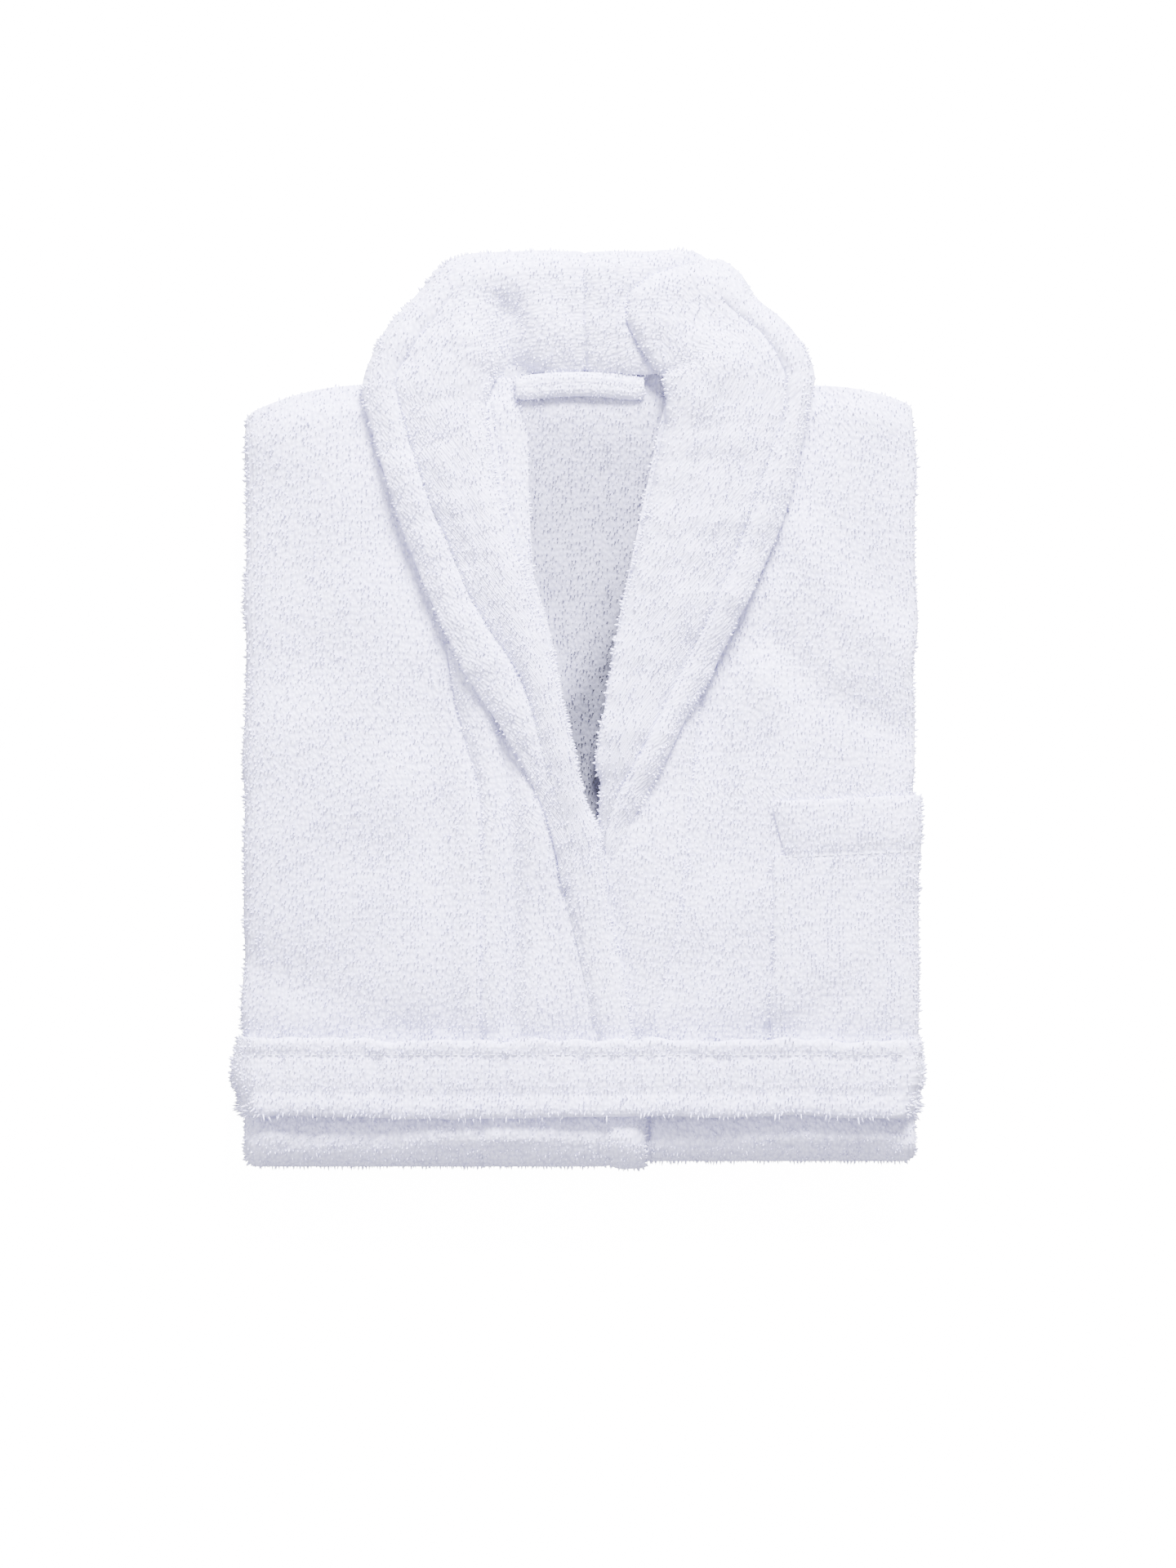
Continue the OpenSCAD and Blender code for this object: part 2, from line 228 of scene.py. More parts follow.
def mark(mesh, pile, nap, uv):
    """Writes where the loops stand, how long they are and the place along the cloth of each point."""
    for key, value in (("pile", pile), ("nap", nap)):
        layer = mesh.attributes.new(key, "FLOAT", "POINT")
        layer.data.foreach_set("value", value.astype(np.float32))
    corners = np.zeros(len(mesh.loops), np.int32)
    mesh.loops.foreach_get("vertex_index", corners)
    mesh.uv_layers.new(name="UVMap").data.foreach_set("uv", uv[corners].astype(np.float32).ravel())
    mesh.update()


def cloth(name, slabs, material):
    """One object from one or more closed pieces of cloth."""
    base, points, faces = 0, [], []
    for s in slabs:
        points.append(s["points"])
        faces.append(s["faces"] + base)
        base += len(s["points"])
    mesh = bare_mesh(name, np.concatenate(points), np.concatenate(faces))
    pile, nap, uv = (np.concatenate([s[key] for s in slabs]) for key in ("pile", "nap", "uv"))
    mesh.polygons.foreach_set("use_smooth", np.ones(len(mesh.polygons), bool))
    mark(mesh, pile, nap, uv * MM)
    return show(f"{name}_cloth", mesh, material)


# ---------- node helpers ----------

class Value:
    """A shader socket that plain arithmetic works on."""

    def __init__(self, tree, socket):
        self.tree, self.socket = tree, socket

    def out(self, key):
        """Another output of the same node."""
        return Value(self.tree, self.socket.node.outputs[key])

    def _math(self, operation, *values):
        return node(self.tree, "ShaderNodeMath", {"operation": operation}, *values)

    def __add__(self, other): return self._math("ADD", self, other)
    def __sub__(self, other): return self._math("SUBTRACT", self, other)
    def __mul__(self, other): return self._math("MULTIPLY", self, other)
    def __truediv__(self, other): return self._math("DIVIDE", self, other)
    def __rsub__(self, other): return self._math("SUBTRACT", other, self)
    def __rtruediv__(self, other): return self._math("DIVIDE", other, self)
    __radd__, __rmul__ = __add__, __mul__


def node(tree, kind, settings=None, *values, out=0, **named):
    """Any node: its settings first, then the values or links of its sockets."""
    made = tree.nodes.new(kind)
    for key, value in (settings or {}).items():
        if key == "stops":
            for i, (place, colour) in enumerate(value):
                stop = made.color_ramp.elements[i] if i < 2 else made.color_ramp.elements.new(place)
                stop.position, stop.color = place, colour
        else:
            setattr(made, key, value)
    pairs = list(enumerate(values)) + [(key.replace("_", " "), value) for key, value in named.items()]
    for key, value in pairs:
        if isinstance(value, Value):
            tree.links.new(value.socket, made.inputs[key])
        elif value is not None:
            made.inputs[key].default_value = value
    return Value(tree, made.outputs[out])


class Weave:
    """A geometry-node tree that is built step by step."""

    def __init__(self, name, floats, integers=()):
        self.tree = bpy.data.node_groups.new(name, "GeometryNodeTree")
        kinds = {"Geometry": "Geometry", **dict.fromkeys(floats, "Float"),
                 **dict.fromkeys(integers, "Int"), "Material": "Material"}
        for label, kind in kinds.items():
            self.tree.interface.new_socket(label, in_out="INPUT", socket_type=f"NodeSocket{kind}")
        self.tree.interface.new_socket("Geometry", in_out="OUTPUT", socket_type="NodeSocketGeometry")
        self.source = self.tree.nodes.new("NodeGroupInput")

    def given(self, label):
        return Value(self.tree, self.source.outputs[label])

    def add(self, kind, settings=None, *values, out=0, **named):
        return node(self.tree, kind, settings, *values, out=out, **named)

    def done(self, geometry):
        real = self.add("GeometryNodeRealizeInstances", None, geometry)
        soft = self.add("GeometryNodeSetShadeSmooth", None, real)
        dyed = self.add("GeometryNodeSetMaterial", None, soft, Material=self.given("Material"))
        self.tree.links.new(dyed.socket, self.tree.nodes.new("NodeGroupOutput").inputs[0])
        return self.tree


def grown(name, host, tree, settings, material):
    """What a geometry-node tree grows on a host mesh, as a plain mesh object."""
    modifier = host.modifiers.new(name, "NODES")
    modifier.node_group = tree
    by_name = {s.name: s.identifier for s in tree.interface.items_tree
               if s.item_type == "SOCKET" and s.in_out == "INPUT"}
    for key, value in {**settings, "Material": material}.items():
        modifier[by_name[key]] = value
    graph = bpy.context.evaluated_depsgraph_get()
    mesh = bpy.data.meshes.new_from_object(host.evaluated_get(graph), depsgraph=graph)
    host.modifiers.remove(modifier)
    mesh.name = name
    if not len(mesh.polygons):
        raise RuntimeError(f"{name} grew nothing")
    return show(name, mesh, material)


def pile_tree():
    """Terry loops scattered evenly over cloth, standing on it in uneven rows."""
    w = Weave("terry_loops", ["Spacing", "Loop Height", "Loop Width", "Lean", "Wale"], ["Seed"])
    height, lean = w.given("Loop Height"), w.given("Lean")
    named, vector = {"data_type": "FLOAT"}, {"data_type": "FLOAT_VECTOR"}
    shown = w.add("GeometryNodeInputNamedAttribute", named, "pile")
    nap = w.add("GeometryNodeInputNamedAttribute", named, "nap")
    scatter = w.add("GeometryNodeDistributePointsOnFaces", {"distribute_method": "POISSON"},
                    w.given("Geometry"), Distance_Min=w.given("Spacing"), Density_Max=1e6,
                    Density_Factor=shown, Seed=w.given("Seed"))
    # one loop: a cone with a plump middle
    bud = w.add("GeometryNodeMeshCone", {"fill_type": "NONE"}, Vertices=4, Side_Segments=2,
                Radius_Top=0.0, Radius_Bottom=w.given("Loop Width"), Depth=height)
    place = w.add("GeometryNodeInputPosition")
    up = w.add("ShaderNodeSeparateXYZ", None, place, out="Z") / height
    plump = 1.0 + 1.7 * up - 1.7 * up * up
    wide = w.add("ShaderNodeCombineXYZ", None, plump, plump, 1.0)
    full = w.add("ShaderNodeVectorMath", {"operation": "MULTIPLY"}, place, wide)
    loop = w.add("GeometryNodeSetPosition", None, bud, Position=full)
    # how it stands: up from the cloth, leaning at random
    low = w.add("ShaderNodeCombineXYZ", None, 0.0 - lean, lean * -0.45, -0.45)
    high = w.add("ShaderNodeCombineXYZ", None, lean * 0.5, lean * 0.45, 0.45)
    turn = w.add("FunctionNodeRandomValue", vector, low, high)
    spin = w.add("FunctionNodeEulerToRotation", None, turn)
    upright = w.add("FunctionNodeAlignRotationToVector", {"axis": "Z"}, Vector=scatter.out("Normal"))
    ranked = w.add("FunctionNodeAlignRotationToVector", {"axis": "Y", "pivot_axis": "Z"}, upright,
                   Vector=(0.0, 1.0, 0.0))
    stand = w.add("FunctionNodeRotateRotation", {"rotation_space": "LOCAL"}, ranked, spin)
    size = w.add("FunctionNodeRandomValue", named, None, None, 0.7, 1.25, out=1)
    # rows: loops are tall on a wale and short or missing between two
    across = w.add("ShaderNodeSeparateXYZ", None,
                   w.add("GeometryNodeInputNamedAttribute", vector, "UVMap"))
    wander = w.add("ShaderNodeTexNoise", None, place, Scale=42.0, Detail=1.0)
    wave = w.add("ShaderNodeMath", {"operation": "SINE"},
                 (across / w.given("Wale") + wander * 2.0) * (2 * math.pi))
    ridge = w.add("ShaderNodeMath", {"operation": "POWER"}, 0.5 + wave * 0.5, 1.3)
    chance = w.add("FunctionNodeRandomValue", named, Seed=7, out=1)
    keep = w.add("ShaderNodeMath", {"operation": "GREATER_THAN"}, ridge + chance * 0.8, 0.6)
    scale = w.add("ShaderNodeCombineXYZ", None, size * (0.55 + ridge * 0.2), size * 1.35,
                  size * nap * (0.38 + ridge * 0.85))
    return w.done(w.add("GeometryNodeInstanceOnPoints", None, scatter, Selection=keep,
                        Instance=loop, Rotation=stand, Scale=scale))


def stitch_tree():
    """Short thread stitches laid one after another along a line."""
    w = Weave("stitch_row", ["Stitch Length", "Gap", "Thread Radius"])
    length, radius = w.given("Stitch Length"), w.given("Thread Radius")
    line = w.add("GeometryNodeMeshToCurve", None, w.given("Geometry"))
    dots = w.add("GeometryNodeCurveToPoints", {"mode": "LENGTH"}, line,
                 Length=length + w.given("Gap"))
    thread = w.add("GeometryNodeMeshUVSphere", Segments=6, Rings=4, Radius=1.0)
    scale = w.add("ShaderNodeCombineXYZ", None, radius, radius, length * 0.5)
    return w.done(w.add("GeometryNodeInstanceOnPoints", None, dots, Instance=thread,
                        Rotation=dots.out("Rotation"), Scale=scale))


def belt_tree():
    """A path wound round a rounded oblong, with the belt's soft section swept along it."""
    w = Weave("wound_belt", ["Half Width", "Low", "High", "Corner Radius", "Belt Width",
                             "Thickness", "Turns"])
    thick, turns = w.given("Thickness"), w.given("Turns")
    ring = w.add("GeometryNodeCurvePrimitiveQuadrilateral", Width=w.given("Half Width") * 2.0,
                 Height=w.given("High") - w.given("Low"))
    bend = w.add("GeometryNodeFilletCurve", {"mode": "POLY"}, ring, Count=10,
                 Radius=w.given("Corner Radius"))
    many = w.add("GeometryNodeResampleCurve", None, w.add("GeometryNodeCurvePrimitiveLine"), Count=520)
    share = w.add("GeometryNodeSplineParameter") * turns
    around = w.add("ShaderNodeMath", {"operation": "FRACT"}, share)
    on_ring = w.add("GeometryNodeSampleCurve", {"mode": "FACTOR"}, bend, Factor=around,
                    out="Position")
    outward = w.add("ShaderNodeVectorMath", {"operation": "CROSS_PRODUCT"}, on_ring.out("Tangent"),
                    (0.0, 0.0, 1.0))
    moved = w.add("ShaderNodeVectorMath", {"operation": "SCALE"}, outward,
                  Scale=(share - turns * 0.5) * thick)
    whole = w.add("ShaderNodeVectorMath", {"operation": "ADD"}, on_ring, moved)
    coil = w.add("GeometryNodeSetPosition", None, many, Position=whole)
    upright = w.add("GeometryNodeSetCurveNormal", {"mode": "Z_UP"}, coil)
    profile = w.add("GeometryNodeCurvePrimitiveQuadrilateral", Width=thick * 0.94,
                    Height=w.given("Belt Width"))
    soft = w.add("GeometryNodeFilletCurve", {"mode": "POLY"}, profile, Count=4, Radius=thick * 0.46)
    fine = w.add("GeometryNodeResampleCurve", {"mode": "LENGTH"}, soft, Length=0.0016)
    swept = w.add("GeometryNodeCurveToMesh", None, upright, fine, Fill_Caps=True)
    return w.done(w.add("GeometryNodeTransform", None, swept, Rotation=(math.pi / 2, 0, 0)))


# ---------- finishes ----------

def paint(name):
    """A material, its node tree and its main shader."""
    material = bpy.data.materials.new(name)
    material.use_nodes = True
    tree = material.node_tree
    return material, tree, tree.nodes["Principled BSDF"]


def feed(tree, shader, **sockets):
    for key, value in sockets.items():
        tree.links.new(value.socket, shader.inputs[key.replace("_", " ")])


def tint(tree, factor, dark, light):
    """A colour between two, by a factor."""
    made = node(tree, "ShaderNodeMix", {"data_type": "RGBA"})
    mix = made.socket.node
    tree.links.new(factor.socket, mix.inputs[0])
    for key, colour in ((6, dark), (7, light)):
        if isinstance(colour, Value):
            tree.links.new(colour.socket, mix.inputs[key])
        else:
            mix.inputs[key].default_value = (*colour, 1)
    return Value(tree, mix.outputs[2])


def paint_neck_shade(tree, colour, deep):
    """Painted shade: darkens a colour towards a shade colour the deeper it lies in the neck opening,
    towards its end and beside the left lapel.
    """
    if not deep:
        return colour
    place = node(tree, "ShaderNodeTexCoord", out=3)
    x = node(tree, "ShaderNodeSeparateXYZ", None, place)
    y = x.out("Y")
    clamped = {"operation": "MULTIPLY", "use_clamp": True}
    gap = 0.0144 + y * 0.2137 - x  # from the left lapel's roll
    neck, lower, end = (node(tree, "ShaderNodeMath", clamped, start - y, 1 / run)
                        for start, run in ((0.185, 0.060), (0.110, 0.080), (0.030, 0.055)))
    beside = 1 - node(tree, "ShaderNodeMath", clamped, gap, 1 / 0.028)
    shade_amount = neck * 0.5 + end * 0.48 + beside * (0.1 + lower * 0.5)
    return tint(tree, node(tree, "ShaderNodeMath", clamped, shade_amount, 1.0), colour, deep)


def terry(name, light, shade, wale, deep=None):
    """Looped cotton: rows of loops along the cloth, uneven in tone, darker between the loops as painted
    shade, with soft sheen.
    """
    material, tree, shader = paint(name)
    uv = node(tree, "ShaderNodeUVMap", {"uv_map": "UVMap"})
    rows = node(tree, "ShaderNodeMapping", None, uv, Scale=(1 / wale, 0.62 / wale, 1.0))
    wander = node(tree, "ShaderNodeTexNoise", {"noise_dimensions": "2D"}, uv, Scale=210.0, Detail=2.0)
    loops = node(tree, "ShaderNodeTexVoronoi", {"voronoi_dimensions": "2D", "feature": "SMOOTH_F1"},
                 rows, Scale=1.0, Smoothness=0.5, Randomness=0.75)
    place = node(tree, "ShaderNodeTexCoord", out=3)
    tone = node(tree, "ShaderNodeTexNoise", None, place, Scale=16.0, Detail=3.0)
    fine = node(tree, "ShaderNodeTexNoise", None, place, Scale=620.0, Detail=2.0)
    height = (1 - loops) * 0.8 + wander * 0.5
    # Towards the ground colour between the loops: painted shade between the loops; the tone noise adds
    # uneven tone.
    colour = tint(tree, (1 - loops) * 0.75 + tone * 0.35 - 0.08, shade, light)
    # With a shade colour given, the base colour gets painted shade in the neck opening.
    feed(tree, shader, Base_Color=paint_neck_shade(tree, colour, deep), Roughness=0.86 + fine * 0.14)
    bump = node(tree, "ShaderNodeBump", None, Strength=0.75, Distance=0.0011, Height=height)
    feed(tree, shader, Normal=bump)
    finish_cotton(shader)
    return material


def loop_yarn(name, light, shade, deep=None):
    """The yarn of the standing loops: its tone drifts over the cloth and from loop to loop."""
    material, tree, shader = paint(name)
    place = node(tree, "ShaderNodeTexCoord", out=3)
    tone = node(tree, "ShaderNodeTexNoise", None, place, Scale=14.0, Detail=3.0)
    each = node(tree, "ShaderNodeTexNoise", None, place, Scale=480.0, Detail=1.0)
    colour = tint(tree, tone * 0.5 + each * 2.0 - 0.66, shade, light)
    # With a shade colour given, the loops' colour gets painted shade in the neck opening.
    feed(tree, shader, Base_Color=paint_neck_shade(tree, colour, deep), Roughness=0.82 + each * 0.16)
    finish_cotton(shader)
    return material


def finish_cotton(shader):
    shader.inputs["Specular IOR Level"].default_value = 0.2
    shader.inputs["Sheen Weight"].default_value = 0.1
    shader.inputs["Sheen Roughness"].default_value = 0.6
    shader.inputs["Sheen Tint"].default_value = (0.96, 0.97, 1.0, 1)


def thread_finish(name, colour):
    """Twisted sewing thread, a little shinier than the loops."""
    material, tree, shader = paint(name)
    place = node(tree, "ShaderNodeTexCoord", out=3)
    twist = node(tree, "ShaderNodeTexNoise", None, place, Scale=900.0, Detail=1.0)
    darker = tuple(c * 0.88 for c in colour)
    feed(tree, shader, Base_Color=tint(tree, twist, darker, colour), Roughness=0.5 + twist * 0.2)
    bump = node(tree, "ShaderNodeBump", None, Strength=0.4, Distance=0.0002, Height=twist)
    feed(tree, shader, Normal=bump)
    shader.inputs["Sheen Weight"].default_value = 0.1
    return material


def finishes():
    """Every finish, made once from the panel's colours."""
    if "terry_body" not in MADE:
        c = bpy.context.scene.bathrobe_cloth
        light, shade = tuple(c.light), tuple(c.shade)
        # Each part gets its own copy of one terry colour: the slightly lighter collar, trim and belt
        # copies are painted light, and the darker inside copy is painted shade.
        for part, lift in (("body", 1.0), ("collar", 1.015), ("trim", 1.01), ("belt", 1.02),
                           ("inside", 0.76)):
            bright = tuple(min(0.98, v * lift) for v in light)
            # Near-black colour of the painted shade deep in the neck opening, for the inside copy only.
            deep = (0.09, 0.09, 0.12) if part == "inside" else None
            MADE[f"terry_{part}"] = terry(f"terry_{part}", bright, shade, c.wale, deep)
            MADE[f"yarn_{part}"] = loop_yarn(f"terry_{part}_loops", bright,
                                             tuple(v * lift for v in shade), deep)
        MADE["thread"] = thread_finish("sewing_thread", tuple(c.thread))
        MADE["pile_tree"], MADE["stitch_tree"] = pile_tree(), stitch_tree()
    return MADE


def put_on(name, shape, part, move, seed, replaced=None, stitches=(), spacing=1.0):
    """Gives a cloth its pile and stitches, hangs them on their body and hides the frame's parts that they
    replace.
    shape is a finished object or a list of slabs; move is a body's name, or
    (body, body, start, end), for which the pieces stay fixed where they are made."""
    kit = finishes()
    obj = cloth(name, shape, kit[f"terry_{part}"]) if isinstance(shape, list) else shape
    c = bpy.context.scene.bathrobe_cloth
    seam = bpy.context.scene.bathrobe_stitches
    pieces = [obj]
    gap = c.spacing * 1.0 * spacing
    pieces.append(grown(f"{name}_pile", obj, kit["pile_tree"],
                        {"Spacing": gap, "Loop Height": c.loop_height, "Loop Width": c.loop_width,
                         "Lean": c.lean, "Wale": c.wale, "Seed": seed}, kit[f"yarn_{part}"]))
    if stitches:
        points, edges = [], []
        for line in stitches:
            base = len(points)
            points.extend(line.tolist())
            edges.extend((base + k, base + k + 1) for k in range(len(line) - 1))
        host = show(f"{name}_stitch_line", bare_mesh(f"{name}_line", points, (), edges), kit["thread"])
        pieces.append(grown(f"{name}_stitches", host, kit["stitch_tree"],
                            {"Stitch Length": seam.length, "Gap": seam.gap,
                             "Thread Radius": seam.radius}, kit["thread"]))
        bpy.data.objects.remove(host)
    for piece in pieces:
        f"terry_{'body' if part == 'inside' else part}"
        if isinstance(move, str):
            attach(piece, move)
        else:
            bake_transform(piece)
    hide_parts(*(replaced or [name]))


# ---------- the lines the robe is cut and folded on ----------

RIGHT_SEAM = [(-85, 199), (-80, 35), (-75, 5), (-62, -45), (-60, -80), (-60, -200), (-60, -290)]
LEFT_SEAM = [(85, 199), (73, 15), (68, -44), (66, -93), (61, -131), (51, -171), (44, -199), (44, -290)]
RIGHT_ROLL = [(-58, 204), (-53, 165), (-46, 127), (-37, 98), (-28, 72), (-19, 46), (-11, 18),
              (-4, -10), (2, -37), (7, -60), (12, -74)]
LEFT_ROLL = [(58, 204), (50, 175), (40.5, 129), (29.5, 77), (25, 55), (15, 0), (8, -23), (5, -44)]
OVERLAP = [(12, -74), (13, -102), (17.5, -129), (26, -164), (31, -201), (39, -250), (39, -290)]
OVERLAP_STITCH = [(-16, -70), (-13, -84), (-10, -108), (-4, -132), (2, -158), (8, -189),
                  (12.5, -203), (16, -250), (19.5, -290)]


def joined(*lines):
    """Lines one below another as one, dropping points that go back up."""
    out = []
    for line in lines:
        out += [p for p in line if not out or p[1] < out[-1][1]]
    return out


RIGHT_EDGE = joined(RIGHT_ROLL, OVERLAP)
LEFT_EDGE = joined(LEFT_ROLL, [(0, -58), (-14, -76), (-40, -100), (-45, -130), (-45, -290)])
RIGHT_BAND_EDGE = [(x - 4.5 if -66 < y < 30 else x, y) for x, y in RIGHT_EDGE]
LEFT_BAND_EDGE = [(58, 204), (50, 175), (40.5, 129), (29.5, 77), (25, 55), (19, 0), (15, -23), (15, -44),
                  (15, -66), (2, -82), (-40, -104), (-45, -130), (-45, -290)]

HALF = 1.25  # half the thickness of a single cloth, without its loops
DEEPEST = -5.4  # a deeper valley would reach the sleeves


def swell(x, y):
    """Rise and fall of the whole stack, shared by every cloth in it."""
    rise = 1.2 * drift(x, y, 3, 150) + 0.7 * drift(x, y, 8, 62)
    rise = rise - 2.6 * bell(y - BELT_HIGH + 1, 13) - 1.8 * bell(y - BELT_LOW, 12)
    rise = rise - 7.0 * smooth(-20, 2, y - shoulder(x)) ** 1.5
    rise = rise - 3.0 * smooth(SIDE_X - 26, SIDE_X, np.abs(x)) ** 1.5
    return rise * smooth(-282, -262, y) + 2.4 * bell(y + 264, 11)


def seam_dip(x, y, seam):
    """How far a cloth dips along a seam."""
    return 2.4 * bell(x - at_y(seam, y), 3.2)


def below(mid):
    """Which points of a folded cloth lie on the robe's underside."""
    return mid[..., 2] < FOLD_Z - 8


def shoulder(x):
    """Where the front ends at the shoulder: it slopes down and rounds off at the sleeve."""
    far = np.abs(x) - np.where(x > 0, 143, 130)
    return Y_SHOULDER - 0.0033 * np.maximum(far, 0) ** 2 - 7 * smooth(197, 209, np.abs(x)) ** 2


def folds(x, y, *lines):
    """Soft ridges and valleys: each is (height, width, points of its line)."""
    return sum(height * bell(to_line(x, y, points), width) for height, width, points in lines)


def right_relief(x, y):
    near = to_line(x, y, [(-134, 196), (-118, 125), (-104, 88), (-92, 60), (-66, 5), (-60, -30)])
    rise = -3.2 * bell(near - 4, 15) * (x < -55) * smooth(-60, 0, y)
    rise = rise + folds(x, y, (2.4, 26, [(-172, 150), (-140, 60), (-118, -60)]),
                        (-2.3, 12, [(-98, 20), (-88, -60), (-80, -190)]),
                        (-2.0, 14, [(-206, -150), (-160, -175), (-100, -196)]),
                        (1.5, 8, [(-66, -60), (-68, -190)]))
    return np.maximum(rise, DEEPEST)


def left_relief(x, y):
    near = to_line(x, y, [(143, 190), (130, 130), (112, 80), (90, 35), (72, 0), (52, -34)])
    rise = -4.2 * bell(near - 5, 12) * (x > 40)
    rise = rise + folds(x, y, (-3.2, 13, [(106, 58), (150, 10), (198, -14)]),
                        (3.4, 16, [(130, 112), (165, 62), (204, 34)]),
                        (2.6, 11, [(112, 20), (128, -20), (120, -120), (124, -180)]),
                        (-2.8, 10, [(82, -4), (88, -60), (84, -130), (70, -190)]),
                        (-2.0, 13, [(206, -120), (170, -170), (120, -196)]))
    return np.maximum(rise, DEEPEST)


def band_relief(x, y):
    """Soft pleats of the right band that run down from the lapel's end."""
    return folds(x, y, (-3.0, 6.5, [(-52, 6), (-45, -40), (-40, -100), (-43, -190)]),
                 (1.6, 6, [(-56, 0), (-58, -190)]),
                 (2.4, 8, [(-26, -40), (-30, -110), (-28, -196)]),
                 (-2.6, 4.5, [(-46, -12), (-31, -37), (-20, -62), (-14, -88), (-10, -112)]))


# ---------- folded panels ----------

ROW_STEP = 4.0  # between two rows across a front


def path_rows(step):
    """Rows from the shoulder down, round the bottom fold and back under."""
    top = [("top", t) for t in np.linspace(0, 1, int((Y_SHOULDER - Y_FOLD) / step))]
    turn = [("turn", t) for t in np.linspace(0, 1, 13)[1:]]
    under = [("under", t) for t in np.linspace(0, 1, 40)[1:]]
    return top + turn + under


def run_along(rows, cross, top_y, relief):
    """Carries a cross-section of (x, height from the fold's middle, share of relief)
    down the top, round the fold and back under."""
    columns = []
    for kind, t in rows:
        if kind == "top":
            x, b, share = cross(lerp(Y_SHOULDER, Y_FOLD, t))
            y = lerp(top_y(x), Y_FOLD, t)
            z = FOLD_Z + b + relief(x, y) * share
        elif kind == "turn":
            x, b, _ = cross(Y_FOLD)
            y, z = Y_FOLD - b * math.sin(math.pi * t), FOLD_Z + b * math.cos(math.pi * t)
        else:
            x, b, _ = cross(Y_FOLD)
            y = np.full_like(x, lerp(Y_FOLD, Y_HEM_FOLD, t))
            z = FOLD_Z - b + 0.35 * drift(x, y, 21, 50)
        columns.append(np.stack([x, y, z], axis=1))
    return np.stack(columns, axis=1)


def panel(side, seam, level, flap_level, relief):
    """Middle grid of a front: flat top, rolled side and the flap that it turns under."""
    top, flap = mid_z(level), mid_z(flap_level)
    radius, middle = (top - flap) / 2, (top + flap) / 2
    edge = SIDE_X - HALF - radius - 0.2
    fan = np.linspace(0, 1, 34)
    roll = np.linspace(0, math.pi, 9)[1:]
    flaps = np.linspace(0, 1, 12)[1:]

    def cross(y):
        lie = np.clip((y + 262) / 60, 0, 1)
        notch = 3.2 * bell(y + 44, 9) if side > 0 else 0
        wavy = (1.3 * drift(y, y * 0, 31 + side, 70) - notch) * lie
        x = [side * lerp(abs(at_y(seam, y)) - 0.6, edge + wavy, fan),
             side * (edge + wavy + radius * np.sin(roll)), side * lerp(edge + wavy, FLAP_X, flaps)]
        b = [np.full(len(fan), top), middle + radius * np.cos(roll), np.full(len(flaps), flap)]
        share = [np.ones(len(fan)), 0.5 + 0.5 * np.cos(roll), 0.8 * smooth(0, 0.3, flaps)]
        return np.concatenate(x), np.concatenate(b) - FOLD_Z, np.concatenate(share)

    rows = path_rows(ROW_STEP)
    mid = run_along(rows, cross, shoulder, relief)
    outer = np.concatenate([np.ones(len(fan) + len(roll)), np.zeros(len(flaps))])
    return mid, np.repeat(outer[:, None], len(rows), axis=1), edge


def hem_turn(x_from, x_to, level, hem_level, side):
    """The skirt's end, turned back once more underneath."""
    start, end = mid_z(FOLD_SUM - level), mid_z(hem_level)
    middle, radius = (start + end) / 2, (start - end) / 2
    turn = np.linspace(0, math.pi, 9)
    run = np.linspace(0, 1, 30)[1:]
    y = np.concatenate([Y_HEM_FOLD + radius * np.sin(turn), lerp(Y_HEM_FOLD, Y_HEM, run)])
    z = np.concatenate([middle + radius * np.cos(turn), np.full(len(run), end)])
    x = np.linspace(x_from, x_to, max(6, int(abs(x_to - x_from) / 10)))
    mid = grid_of(x[:, None], y, z)
    hemmed = HALF + 0.2 * smooth(Y_HEM + 26, Y_HEM + 22, mid[..., 1])
    return slab(mid, hemmed, pile=np.where(mid[..., 2] > 4, 0.5, 0.0), nap=0.35, side=side)


def strip_band(seam, edge, level, relief, columns, puff=None):
    """Middle grid and half thickness of a front band between its seam and its edge."""
    top = mid_z(level) - FOLD_Z

    def cross(y):
        x = lerp(at_y(seam, y), at_y(edge, y), np.linspace(0, 1, columns))
        return x, np.full_like(x, top), np.ones_like(x)

    mid = run_along(path_rows(ROW_STEP), cross, lambda x: np.full_like(x, Y_SHOULDER), relief)
    half = np.full(mid.shape[:2], HALF)
    if puff:
        rise = puff(mid[..., 0], mid[..., 1]) * smooth(0, 1, (mid[..., 2] - FOLD_Z + 14) / 10)
        half = half + rise / 2
        mid[..., 2] += rise / 2
    return mid, half


# ---------- shawl collar ----------

